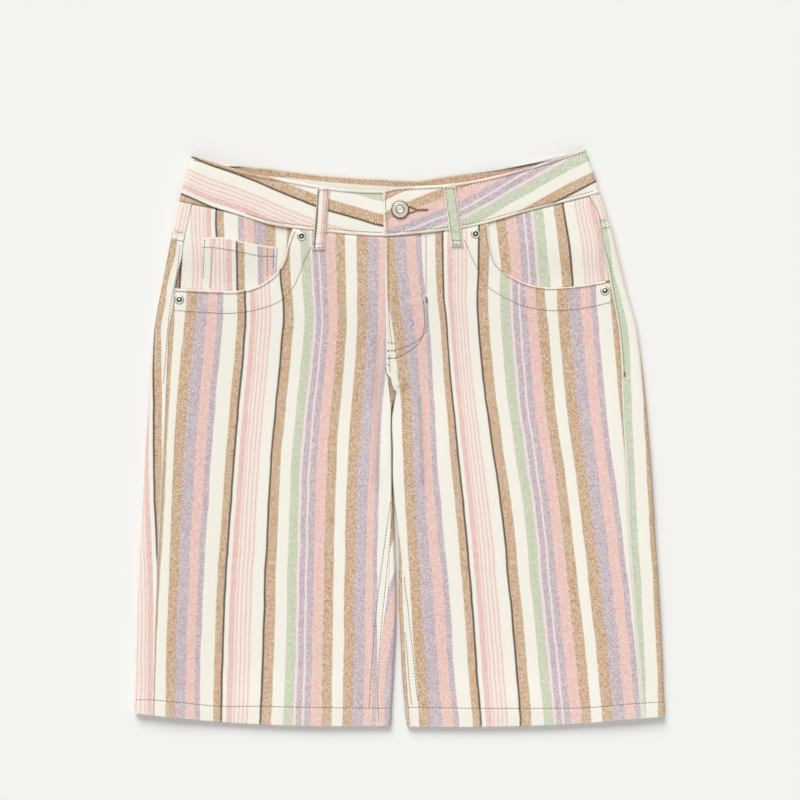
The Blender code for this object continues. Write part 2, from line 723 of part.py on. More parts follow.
def turned_part(name, profile, place, finish, steps=32):
    """A round piece turned from (radius, height) pairs, both ends on its axis."""
    builder = bmesh.new()
    x, y, z = place
    rings = []
    for radius, height in profile:
        if radius == 0:
            rings.append([builder.verts.new((x, y, z + height))])
            continue
        rings.append([builder.verts.new((x + radius * math.cos(2 * math.pi * i / steps),
                                         y + radius * math.sin(2 * math.pi * i / steps), z + height))
                      for i in range(steps)])
    for one, two in zip(rings, rings[1:]):
        for i in range(steps):
            corners = [one[i % len(one)], one[(i + 1) % len(one)], two[(i + 1) % len(two)], two[i % len(two)]]
            builder.faces.new(list(dict.fromkeys(corners)))
    part = add_part(name, builder, finish)
    part.data.shade_smooth()
    part.data.set_sharp_from_angle(angle=math.radians(40))
    return part


def button(name, finish):
    """A jeans button: post through the buttonhole, dished face with a rim and a dome."""
    x, y = BUTTON_PLACE
    foot = BAND_TOP + LAY
    under = band_overlap(x)
    top = under + BUTTON_THICK
    profile = [(0, 0), (POST_RADIUS, 0), (POST_RADIUS, under), (BUTTON_RADIUS - 0.6 * MM, under),
               (BUTTON_RADIUS, under + 0.6 * MM), (BUTTON_RADIUS, top - 0.6 * MM),
               (BUTTON_RADIUS - 0.5 * MM, top), (BUTTON_RADIUS - BUTTON_RIM, top - 0.2 * MM),
               (BUTTON_RADIUS - 2 * BUTTON_RIM, top - 0.8 * MM), (4.6 * MM, top - 0.7 * MM),
               (4.1 * MM, top - 1.0 * MM), (3.5 * MM, top - 0.7 * MM), (0, top - 0.3 * MM)]
    return turned_part(name, profile, (x, y, foot), finish)


def rivet(name, x, y, finish):
    half = LEFT if x > 0 else RIGHT
    reach = RIVET_RADIUS
    seat = max(half.height(abs(x) * MM + reach * a, y * MM + reach * b)
               for a in (-1, 0, 1) for b in (-1, 0, 1))
    top = RIVET_THICK
    profile = [(0, 0), (reach, 0), (reach, 0.4 * MM), (reach - 0.7 * MM, top), (reach - 1.4 * MM, top),
               (reach - 2.0 * MM, top - 0.6 * MM), (1.3 * MM, top - 0.6 * MM), (0.9 * MM, top - 0.1 * MM),
               (0, top)]
    return turned_part(name, profile, (x * MM, y * MM, seat + LAY), finish, steps=24)


def build():
    clear_scene()
    front_panel("front_right", RIGHT, right_front_edge, lambda a, y: 0.0, "ecru stripe denim")
    front_panel("front_left", LEFT, left_front_edge, fly_lift, "rose stripe denim")
    back_panel("back_right", RIGHT, "sand stripe denim")
    back_panel("back_left", LEFT, "sage stripe denim")
    yoke("yoke_right", RIGHT, "rose stripe denim")
    yoke("yoke_left", LEFT, "rose stripe denim")
    pocket_facing("pocket_facing_right", RIGHT, 2, "rose stripe denim")
    pocket_facing("pocket_facing_left", LEFT, 1, "ecru stripe denim")
    coin_pocket("coin_pocket", RIGHT, "lilac stripe denim")
    front_band("waistband_right", RIGHT, lambda x: 0.0, "ecru stripe denim")
    left_band = front_band("waistband_left", LEFT, band_overlap, "lilac stripe denim")
    cut_buttonhole(left_band)
    back_band("waistband_back", "ecru stripe denim")
    for name, (lower, upper) in LOOPS_FRONT.items():
        front_loop(name, lower, upper, "sage stripe denim")
    for name, x in LOOPS_BACK.items():
        back_loop(name, x, "sage stripe denim")
    button("button", "old nickel")
    for name, (x, y) in RIVETS.items():
        rivet(name, x, y, "old nickel")


build()
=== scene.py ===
import math
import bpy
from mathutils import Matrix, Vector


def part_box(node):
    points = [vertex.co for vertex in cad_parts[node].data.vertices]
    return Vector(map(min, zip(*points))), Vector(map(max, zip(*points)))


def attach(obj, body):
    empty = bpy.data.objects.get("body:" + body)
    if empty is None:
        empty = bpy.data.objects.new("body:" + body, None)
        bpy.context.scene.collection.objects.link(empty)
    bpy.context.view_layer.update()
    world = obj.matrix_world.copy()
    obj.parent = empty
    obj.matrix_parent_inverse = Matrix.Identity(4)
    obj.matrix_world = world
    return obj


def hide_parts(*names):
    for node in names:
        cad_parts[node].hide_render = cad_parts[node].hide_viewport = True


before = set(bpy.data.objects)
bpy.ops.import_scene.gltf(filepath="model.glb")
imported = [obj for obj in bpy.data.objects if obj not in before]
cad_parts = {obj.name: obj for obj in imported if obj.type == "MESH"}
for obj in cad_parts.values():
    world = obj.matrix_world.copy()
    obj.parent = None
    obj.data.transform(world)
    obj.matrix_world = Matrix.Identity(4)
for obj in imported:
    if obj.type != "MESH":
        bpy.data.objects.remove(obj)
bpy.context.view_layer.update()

from types import SimpleNamespace

import bpy
import numpy as np
from mathutils import Vector
from mathutils.bvhtree import BVHTree

mm = 0.001

# camera, straight above
view = {"height": 1.812, "aimX": 0.0004, "aimY": 0.0363, "lens": 85, "sensor": 36}
cameraData = bpy.data.cameras.new("camera")
cameraData.lens = view["lens"]
cameraData.sensor_width = view["sensor"]
cameraData.clip_start = 0.05
camera = bpy.data.objects.new("camera", cameraData)
camera.location = (view["aimX"], view["aimY"], view["height"])
bpy.context.scene.collection.objects.link(camera)
bpy.context.scene.camera = camera
bpy.context.scene.view_settings.view_transform = "Standard"


def linear(red, green, blue):  # screen colour, 0 to 255, to light
    return tuple(((c / 255 + 0.055) / 1.055) ** 2.4 if c > 10 else c / 255 / 12.92 for c in (red, green, blue))


# soft light and pale floor
studio = {"world": 0.34, "worldColour": (1.0, 1.0, 0.995), "floor": (240, 240, 237), "floorSize": 30,
          "suns": {"key": {"power": 2.45, "spread": 36, "place": (-0.7, 2.1, 1.75)},
                   "fill": {"power": 0.72, "spread": 70, "place": (0.1, -1.2, 2.4)}}}
world = bpy.data.worlds.new("studio")
world.use_nodes = True
world.node_tree.nodes["Background"].inputs["Color"].default_value = (*studio["worldColour"], 1)
world.node_tree.nodes["Background"].inputs["Strength"].default_value = studio["world"]
bpy.context.scene.world = world
for sunName, sun in studio["suns"].items():
    light = bpy.data.lights.new(sunName, "SUN")
    light.angle = math.radians(sun["spread"])
    light.energy = sun["power"]
    lamp = bpy.data.objects.new(sunName, light)
    lamp.location = sun["place"]
    lamp.rotation_euler = (-Vector(sun["place"])).to_track_quat("-Z", "Y").to_euler()
    bpy.context.scene.collection.objects.link(lamp)

bpy.ops.object.select_all(action="DESELECT")
bpy.ops.mesh.primitive_plane_add(size=studio["floorSize"])
floor = bpy.context.object
floor.name = "floor"
floorPaper = bpy.data.materials.new("floorPaper")
floorPaper.use_nodes = True
floorShader = floorPaper.node_tree.nodes["Principled BSDF"]
floorShader.inputs["Base Color"].default_value = (*linear(*studio["floor"]), 1)
floorShader.inputs["Roughness"].default_value = 0.95
floorShader.inputs["Specular IOR Level"].default_value = 0.1
floor.data.materials.append(floorPaper)
print("camera, light and floor ready")


# small tools, all in millimetres
def smooth(low, high, value):
    t = np.clip((value - low) / (high - low), 0.0, 1.0)
    return t * t * (3 - 2 * t)


def mix(a, b, t):
    return a + (b - a) * t


def through(table, column, sign=1):  # smooth curve through one column, sloped by its neighbours
    rows = sorted((row[0] * sign, row[column]) for row in table)
    xs = np.array([row[0] for row in rows], dtype=float)
    ys = np.array([row[1] for row in rows], dtype=float)
    slopes = np.gradient(ys, xs)

    def value(x):
        x = np.clip(x, xs[0], xs[-1])
        i = np.clip(np.searchsorted(xs, x, side="right") - 1, 0, len(xs) - 2)
        h = xs[i + 1] - xs[i]
        t = (x - xs[i]) / h
        bow = h * t * (1 - t) * ((1 - t) * slopes[i] - t * slopes[i + 1])
        return mix(ys[i], ys[i + 1], t * t * (3 - 2 * t)) + bow
    return value


def spread(length, step, close=(0, 0.15, 0.4, 0.9, 1.7, 2.6)):  # places along a line, closer at its ends
    count = max(2, round((length - 2 * close[-1]) / step))
    middle = np.linspace(close[-1], length - close[-1], count + 1)
    return np.concatenate([close[:-1], middle, length - np.array(close[:-1])[::-1]])


def shares(length, step, *close):  # the same as parts of the whole length
    return spread(length, step, *close) / length


def settle(value, wanted, weight=0.6, rounds=40):  # moves a value step by step to where a rule wants it
    for _ in range(rounds):
        value = mix(value, wanted(value), weight)
    return value


def alongLine(points, step):  # a smooth line through points, cut in equal steps
    points = np.array(points, dtype=float)
    if len(points) > 2:
        knots = np.concatenate([[0], np.cumsum(np.linalg.norm(np.diff(points, axis=0), axis=1))])
        slopes = np.gradient(points, knots, axis=0)
        fine = []
        for i in range(len(points) - 1):
            t = np.linspace(0, 1, 12, endpoint=False)[:, None]
            h = knots[i + 1] - knots[i]
            fine.append(mix(points[i], points[i + 1], t * t * (3 - 2 * t))
                        + h * t * (1 - t) * ((1 - t) * slopes[i] - t * slopes[i + 1]))
        points = np.concatenate(fine + [points[-1:]])
    length = np.concatenate([[0], np.cumsum(np.linalg.norm(np.diff(points, axis=0), axis=1))])
    count = max(1, round(length[-1] / step))
    places = np.linspace(0, length[-1], count + 1)
    return np.stack([np.interp(places, length, points[:, k]) for k in range(points.shape[1])], axis=1)


def lineDistance(x, y, line):  # nearest distance to a line, and how far along it
    best = np.full(np.shape(x), 1e9)
    place = np.zeros(np.shape(x))
    run = 0.0
    for (ax, ay), (bx, by) in zip(line[:-1], line[1:]):
        length = max(math.hypot(bx - ax, by - ay), 1e-6)
        t = np.clip(((x - ax) * (bx - ax) + (y - ay) * (by - ay)) / length ** 2, 0, 1)
        away = np.hypot(x - ax - t * (bx - ax), y - ay - t * (by - ay))
        nearer = away < best
        best = np.where(nearer, away, best)
        place = np.where(nearer, run + t * length, place)
        run += length
    return best, place, run


# the cut of the garment as it lies; right and left are the wearer's
cloth = {"thick": 1.0, "hemThick": 2.0, "hemDeep": 15.5, "bandThick": 2.0, "lay": 0.3,
         "over": 1.3, "fold": 4.4, "innerFold": 3.3, "hipFold": 5.2, "crotchFold": 1.5, "bandFold": 5.6,
         "bandRise": 1.6, "bandWrap": 6.0, "sag": 4.4, "sagHem": 7.0, "crotch": 43.0, "riseFrom": 145.0,
         "riseTo": 187.0, "waist": 190.0, "flyEnd": 57.5, "flyLap": 14.0, "tuck": 3.0, "grid": 2.15, "seamShade": 0.3}
cloth["bandTop"] = cloth["bandRise"] + 2 * cloth["bandFold"]
cloth["panelRise"] = cloth["bandTop"] - cloth["bandFold"] - cloth["hipFold"]

rightCut = {
    "side": [(-276, -254.6), (-263, -253.8), (-151, -250.0), (-86, -246.9), (17, -241.0), (76, -236.8),
             (103, -234.5), (128, -230.4), (141, -228.1), (160, -224.2), (171, -221.9), (187, -218.6),
             (205, -214.9), (230, -209.9)],
    "seam": [(-276, -235.3), (-263, -235.0), (-151, -231.9), (-86, -228.7), (17, -223.9), (76, -221.6),
             (103, -220.3), (128, -216.0), (141, -214.9), (160, -211.2), (171, -208.2), (187, -206.0),
             (205, -202.2), (230, -197.0)],
    "inseam": [(-276, -20.3), (-248, -20.3), (-215, -19.0), (-182, -15.5), (-149, -11.1), (-111, -8.9),
               (-73, -8.2), (-47, -7.7), (22, -8.0), (31, -8.5), (43, -9.6)],
    "inner": [(-276, -8.9), (-248, -7.1), (-215, -5.2), (-182, -3.7), (-149, -3.5), (-111, -4.4), (-73, -5.6),
              (-60, -6.2), (-47, -7.0), (-10, -7.4), (22, -7.6), (31, -6.6), (43, -2.9)],
    "hem": [(-255, -263.0), (-235, -265.3), (-201, -269.0), (-157, -272.6), (-103, -275.2), (0, -275.7)],
    "band": [(11.8, 194.6, 11.8, 236.1), (-14.9, 192.4, -17.8, 235.9), (-47.4, 194.1, -47.4, 237.0),
             (-82.9, 198.0, -77.0, 240.9), (-123.8, 203.5, -114.2, 247.8), (-153.8, 212.7, -143.8, 253.1),
             (-176.6, 218.9, -168.6, 260.4), (-210.7, 226.3, -198.8, 269.1)],
    "mouth": [(-101.8, 200.5), (-105.9, 187.0), (-109.4, 172.0), (-114.8, 161.4), (-123.0, 153.2),
              (-134.5, 145.7), (-150.0, 141.2), (-178.0, 140.8), (-218.0, 143.1)],
    "facing": [(-88, 176), (-100, 152), (-120, 136), (-150, 129), (-216, 130)],
    "yokeSide": 198.0}
leftCut = {
    "side": [(-276, 254.2), (-265, 253.8), (-170, 249.8), (-88, 244.5), (-33, 241.1), (36, 235.5), (81, 230.5),
             (108, 226.5), (135, 218.9), (177, 207.8), (211, 199.3), (238, 190.4)],
    "seam": [(-276, 233.6), (-265, 232.8), (-170, 225.0), (-88, 219.0), (-33, 216.8), (36, 212.7), (81, 211.3),
             (108, 208.6), (135, 203.6), (177, 194.9), (211, 188.2), (238, 178.5)],
    "inseam": [(-277, 10.2), (-231, 6.8), (-193, 4.7), (-155, 3.0), (-111, 1.4), (-93, -0.5), (-75, -2.9),
               (-62, -5.0), (-47, -6.4), (-10, -6.9), (22, -7.2), (31, -5.7), (43, -2.5)],
    "inner": [(-277, 7.1), (-231, 2.6), (-193, 0.8), (-155, -0.8), (-111, -0.9), (-93, -1.5), (-75, -3.4),
              (-62, -5.0), (-47, -6.4), (-10, -6.9), (22, -7.2), (31, -5.7), (43, -2.5)],
    "hem": [(0, -276.3), (54, -276.6), (116, -275.6), (164, -273.8), (219, -269.2), (255, -266.3)],
    "band": [(-15.2, 191.8, -15.9, 236.2), (3.0, 193.2, 3.1, 239.2), (20.4, 195.0, 20.6, 240.2),
             (61.5, 200.1, 55.0, 242.8), (83.5, 205.0, 79.0, 247.2), (115.6, 214.2, 104.5, 253.2),
             (156.4, 224.7, 137.5, 262.6), (191.6, 234.0, 177.6, 276.4)],
    "mouth": [(83.6, 205.0), (86.3, 182.7), (92.7, 166.3), (107.3, 153.9), (125.5, 146.1), (142.0, 143.7),
              (170.0, 145.3), (204.0, 151.6)],
    "facing": [(70, 178), (82, 154), (104, 139), (140, 130), (208, 136)],
    "yokeSide": 210.5}
backBandRows = [(-168.0, 219.5, -167.8, 262.0), (-125.0, 215.0, -123.8, 257.6), (-73.0, 208.4, -72.6, 251.4),
                (-9.2, 204.0, -9.2, 247.4), (17.6, 204.0, 17.6, 246.4), (45.0, 207.0, 44.1, 250.2),
                (97.0, 214.4, 95.9, 257.2), (160.0, 227.5, 148.4, 270.0)]
yokeMiddle = 154.0


def makeHalf(sign, cut):
    half = SimpleNamespace(sign=sign, band=cut["band"], yokeSide=cut["yokeSide"])
    half.side = lambda y, f=through(cut["side"], 1): sign * f(y)
    half.seam = lambda y, f=through(cut["seam"], 1): sign * f(y)
    half.inseam = lambda y, f=through(cut["inseam"], 1): sign * f(y)
    half.inner = lambda y, f=through(cut["inner"], 1): sign * f(y)
    half.hem = through(cut["hem"], 1, sign)
    half.bandLine = through([(row[0], row[1]) for row in cut["band"]], 1, sign)
    half.bandTopLine = through([(row[2], row[3]) for row in cut["band"]], 1, sign)
    half.mouthLine = through(cut["mouth"], 1, sign)
    half.mouth = [sign * row[0] for row in cut["mouth"]]
    half.facingLine = through(cut["facing"], 1, sign)
    half.facingEnd = sign * cut["facing"][0][0]
    half.roll = lambda y: mix(cloth["fold"], cloth["hipFold"], smooth(85, cloth["riseTo"], y))
    half.fold = lambda y: mix(cloth["crotchFold"], cloth["innerFold"],
                              smooth(cloth["crotch"], cloth["crotch"] - 80, y))
    half.base = lambda y: mix(0, cloth["panelRise"], smooth(cloth["riseFrom"], cloth["riseTo"], y))
    return half


right = makeHalf(-1, rightCut)
left = makeHalf(1, leftCut)


def frontHeight(half, across, y):
    side = half.side(y) - half.roll(y)
    atSide = half.base(y) + 2 * half.roll(y)
    above = y > cloth["crotch"]
    middle = np.where(above, 0.0, half.inner(y) + half.fold(y))
    atMiddle = np.where(above, mix(2 * cloth["crotchFold"], cloth["bandTop"] - 0.4,
                                   smooth(cloth["crotch"], 160, y)), 2 * half.fold(y))
    sag = mix(cloth["sag"], cloth["sagHem"], smooth(-215, -262, y))
    sag = mix(sag, atSide, smooth(cloth["crotch"], cloth["riseFrom"], y))
    return (sag + (atSide - sag) * (1 - smooth(25, 95, side - across))
            + (atMiddle - sag) * (1 - smooth(10, 70, across - middle)))


def stack(half, across, y, z):
    across, y, z = np.broadcast_arrays(across, y, z)
    return np.stack([half.sign * across, y, z], axis=-1)


def frontPoint(half, reach, y, depth):
    r = half.fold(y)
    axis = np.where(y <= cloth["crotch"], half.inner(y) + r, -1e6)
    turn = np.clip((axis - reach) / r, 0, 3.2)
    flat = reach >= axis
    across = np.where(flat, reach, axis - (r - depth) * np.sin(turn))
    z = np.where(flat, frontHeight(half, reach, y) - depth, r + (r - depth) * np.cos(turn))
    return stack(half, across, y, z)


def frontReach(half, across, y):
    r = half.fold(y)
    axis = half.inner(y) + r
    bent = axis - r * np.arcsin(np.clip((axis - across) / r, -1, 1))
    return np.where((y > cloth["crotch"]) | (across >= axis), across, bent)


def backPoint(half, run, y, depth):
    roll, base = half.roll(y), half.base(y)
    axis = half.side(y) - roll
    bend = math.pi * roll
    onTop = stack(half, axis + run, y, frontHeight(half, axis + run, y) - depth)
    turn = np.clip(run / roll, 0, math.pi)
    round_ = stack(half, axis + (roll - depth) * np.sin(turn), y, base + roll + (roll - depth) * np.cos(turn))
    r = half.fold(y)
    innerAxis = np.where(y <= cloth["crotch"], half.inner(y) + r, -1e6)
    across = axis - (run - bend)
    under = stack(half, across, y, base + depth)
    innerTurn = np.clip((innerAxis - across) / r, 0, math.pi)
    fold = stack(half, innerAxis - (r - depth) * np.sin(innerTurn), y, r - (r - depth) * np.cos(innerTurn))
    past = innerAxis + ((innerAxis - across) / r - math.pi) * r
    again = stack(half, past, y, frontHeight(half, past, y) - depth)
    pick = lambda test: np.broadcast_to(test, run.shape)[..., None]
    turned = np.where(pick((innerAxis - across) / r < math.pi), fold, again)
    result = np.where(pick(across >= innerAxis), under, turned)
    return np.where(pick(run < 0), onTop, np.where(pick(run < bend), round_, result))


cornerEdge = through([(43, -2.6), (46, -5.2), (50, -6.8), (54, -7.9), (58, -8.9), (60, -10.8), (62, -12.4),
                      (70, -12.7)], 1)


def leftFrontEdge(y):
    lap = mix(1.2 - cloth["flyLap"], -cloth["flyLap"], smooth(cloth["flyEnd"], cloth["waist"], y))
    return np.where(y <= cloth["crotch"], left.inseam(y), np.where(y < 66, np.maximum(cornerEdge(y), lap), lap))


cornerGap = through([(43, 9.6), (47, 10.1), (52, 10.8), (58, 11.4), (61, 12.6), (66, 13.2)], 1)


def rightFrontEdge(y):
    along = np.maximum(cornerGap(y), cloth["lay"] - leftFrontEdge(y))
    above = mix(13.2, -3.0, smooth(66, 84, y))
    return np.where(y <= cloth["crotch"], right.inseam(y), np.where(y >= 66, above, along))


def flyLift(across, y):
    high = (cloth["over"] + cloth["lay"]) * (1 - smooth(2, 30, across))
    return high * smooth(cloth["crotch"], cloth["flyEnd"] - 4, y)


# stripes: where known stripes lie, so that the pattern follows the cut; u counts millimetres of one repeat
stripeRepeat = 172.3
rightStripes = {"at": (-11.2, 0, 30, 56.7, 94.2, 125.8, 161.1, 192.7, 207.5), "rows": [
    (183, -214.0, -203.5, -173.9, -147.5, -115, -86.0, -52.6, -20.2, -8),
    (151, -214.2, -203.5, -173.9, -147.5, -113.7, -84.1, -51.7, -20.2, -8),
    (132, -214.6, -203.5, -173.9, -147.5, -111.3, -83.0, -51.5, -20.9, -9),
    (113, -215.4, -205.4, -174.7, -147.4, -111.0, -82.0, -51.1, -21.2, -10),
    (92, -216.5, -207.6, -176.5, -148.8, -113.0, -83.4, -52.2, -21.9, -11.1),
    (65, -218.2, -210.5, -179.2, -151.3, -115.5, -86.3, -53.8, -23.3, -13.8),
    (36, -220.0, -213.1, -181.7, -153.8, -118.0, -89.4, -56.9, -25.4, -16.8),
    (-12, -222.2, -215.9, -185.5, -158.0, -122.7, -94.5, -60.2, -28.2, -19.2),
    (-59, -224.4, -217.8, -188.6, -161.5, -125.2, -96.5, -61.9, -30.6, -20.6),
    (-155, -230.3, -221.0, -193.8, -167.8, -129.7, -98.8, -64.0, -33.1, -22.1),
    (-231, -233.7, -223.2, -195.9, -170.1, -131.7, -100.3, -65.0, -34, -21.6),
    (-270, -234.3, -223.4, -196.1, -170.8, -133.4, -102.1, -65.3, -35.2, -22)]}
leftStripes = {"at": (9.6, 30, 56.7, 94.2, 125.8, 161.1, 172.3, 202.3), "rows": [
    (183, -4.7, 15.4, 40.7, 75.1, 105, 138.5, 150, 182), (151, -2.8, 18.2, 41.4, 74.6, 105, 138, 149.8, 181.8),
    (132, -1.8, 20.9, 42.3, 73.8, 105.3, 138.5, 150.2, 182.2),
    (113, 1.8, 23.1, 44.4, 74.5, 106.0, 140.8, 151.4, 183.6),
    (92, 4.6, 25.4, 45.9, 76.2, 107.7, 142.8, 153.3, 185.8), (65, 7.4, 26.9, 47.6, 78.5, 109.9, 145.6, 156.2, 187.7),
    (36, 10.4, 28.5, 50.9, 82.4, 112.8, 147.6, 158.8, 190.6),
    (-12, 12.6, 30.0, 55.3, 88.9, 119.4, 154.7, 165.5, 196.1),
    (-59, 14.7, 33.1, 60.2, 96.1, 126.5, 161.0, 171.8, 202.9),
    (-155, 20.4, 42.3, 68.9, 105.7, 135.7, 171.7, 182.5, 214.2),
    (-231, 25.5, 47.2, 74.3, 112.5, 143.4, 179.9, 190.3, 222.2),
    (-270, 28.4, 51.2, 77.4, 115.4, 147.2, 182.7, 193.6, 225.2)]}
rightFacingStripes = {"at": (94.2, 56.7, 0), "rows": [(203, -210.7, -174.4, -118.5), (168, -208.2, -173.4, -118.5),
                                                      (143, -210.2, -173, -118.5)]}
leftFacingStripes = {"at": (141.5, 116.2, 94.2, 66.7), "rows": [
    (222, 110.2, 136.5, 156, 180.9), (183, 114.7, 140.5, 162.3, 189.5), (168, 116.4, 142.2, 164, 190.4),
    (151, 117.4, 144.1, 165.6, 192)]}
coinStripes = {"at": (83.3, 56.7, 20.4), "rows": [(190, -181.5, -154.8, -121.2), (145, -181.5, -154.8, -121.2)]}
rightBandStripes = {"at": (94.2,), "rows": [
    (-236, 285.1), (-204, 270.5), (-181, 260), (-160, 253), (-133, 242.5), (-105, 230.5), (-62, 214.5), (-42, 209),
    (-15, 201.5), (12, 195)]}
leftBandStripes = {"at": (94.2, 116.2, 134.5, 151.5), "rows": [
    (-16, 147, 170, 189, 204), (-7, 150, 173, 192, 209), (20.4, 162.4, 184.3, 202.5, 219.7),
    (63.4, 177.6, 200.6, 219.7, 238.8), (83.5, 188, 210, 230.6, 249.3), (110.2, 203.4, 225.9, 246.9, 264.5),
    (138.9, 219.7, 241.6, 262.6, 281.7), (167.5, 234, 257.9, 280.3, 298), (184.7, 243, 265.5, 287.5, 305.6),
    (216, 259.4, 279.3, 300.6, 319.4)]}


def stripesFrom(guides, along, across):  # u at each point, from the known stripes on either side of it
    known = list(guides["at"])
    lines = [through(guides["rows"], i + 1)(along) for i in range(len(known))]
    if len(known) == 1:
        return known[0] + 0.946 * (across - lines[0])
    if lines[0].mean() > lines[-1].mean():
        known, lines = known[::-1], lines[::-1]
    u = known[0] + (across - lines[0]) * np.sign(known[-1] - known[0])
    for i in range(len(known) - 1):
        between = known[i] + (known[i + 1] - known[i]) * (across - lines[i]) / (lines[i + 1] - lines[i])
        u = np.where(across >= lines[i], between, u)
    last = known[-1] + (across - lines[-1]) * np.sign(known[-1] - known[0])
    return np.where(across >= lines[-1], last, u)


# colours of the yarns, as they show woven, each with the share of its stripe that it covers
ecru = linear(242, 238, 226)


def yarn(red, green, blue, cover=0.6):
    colour = tuple(max((c - (1 - cover) * e) / cover, 0.004) for c, e in zip(linear(red, green, blue), ecru))
    return (*colour, cover)


yarns = {"ecru": (*ecru, 0.6), "sand": yarn(206, 178, 149), "lilac": yarn(202, 187, 191), "rose": yarn(233, 199, 190),
         "sage": yarn(205, 211, 187), "bark": yarn(76, 46, 28, 0.98), "pale": yarn(236, 221, 219),
         "blush": yarn(245, 229, 219), "pin": yarn(228, 204, 193)}
stripeOrder = [(0, "sand"), (9.6, "lilac"), (20.4, "rose"), (30, "lilac"), (35.2, "ecru"), (48.6, "sand"),
               (55.7, "bark"), (57.8, "ecru"), (61.9, "rose"), (66.7, "blush"), (68.3, "pin"), (69.8, "blush"),
               (72.3, "pin"), (73.8, "blush"), (76.3, "pin"), (77.8, "blush"), (80.3, "pin"), (81.8, "blush"),
               (83.3, "ecru"), (93.2, "bark"), (95.3, "sand"), (104.7, "ecru"), (116.2, "sage"), (125.8, "pale"),
               (128.0, "lilac"), (133.3, "pale"), (135.7, "lilac"), (141.5, "rose"), (151.5, "sand"), (161.1, "ecru")]


def addNode(tree, kind, place=(0, 0), **settings):
    node = tree.nodes.new(kind)
    node.location = place
    for name, value in settings.items():
        setattr(node, name, value)
    return node


def sums(tree, operation, a, b=None, c=None, clamp=False):
    node = addNode(tree, "ShaderNodeMath", operation=operation, use_clamp=clamp)
    for socket, value in zip(node.inputs, (a, b, c)):
        if value is None:
            continue
        if isinstance(value, (int, float)):
            socket.default_value = value
        else:
            tree.links.new(value, socket)
    return node.outputs[0]


def mixColours(tree, factor, a, b, kind="MIX"):
    node = addNode(tree, "ShaderNodeMix", data_type="RGBA", blend_type=kind)
    for socket, value in ((node.inputs[0], factor), (node.inputs[6], a), (node.inputs[7], b)):
        if isinstance(value, (int, float)):
            socket.default_value = value
        elif isinstance(value, tuple):
            socket.default_value = (*value[:3], 1)
        else:
            tree.links.new(value, socket)
    return node.outputs[2]


def makeGroup(name, inputs, outputs):
    tree = bpy.data.node_groups.new(name, "ShaderNodeTree")
    for label, kind, value in inputs:
        socket = tree.interface.new_socket(name=label, in_out="INPUT", socket_type=kind)
        if value is not None:
            socket.default_value = value
    for label, kind in outputs:
        tree.interface.new_socket(name=label, in_out="OUTPUT", socket_type=kind)
    return tree, addNode(tree, "NodeGroupInput"), addNode(tree, "NodeGroupOutput", (900, 0))


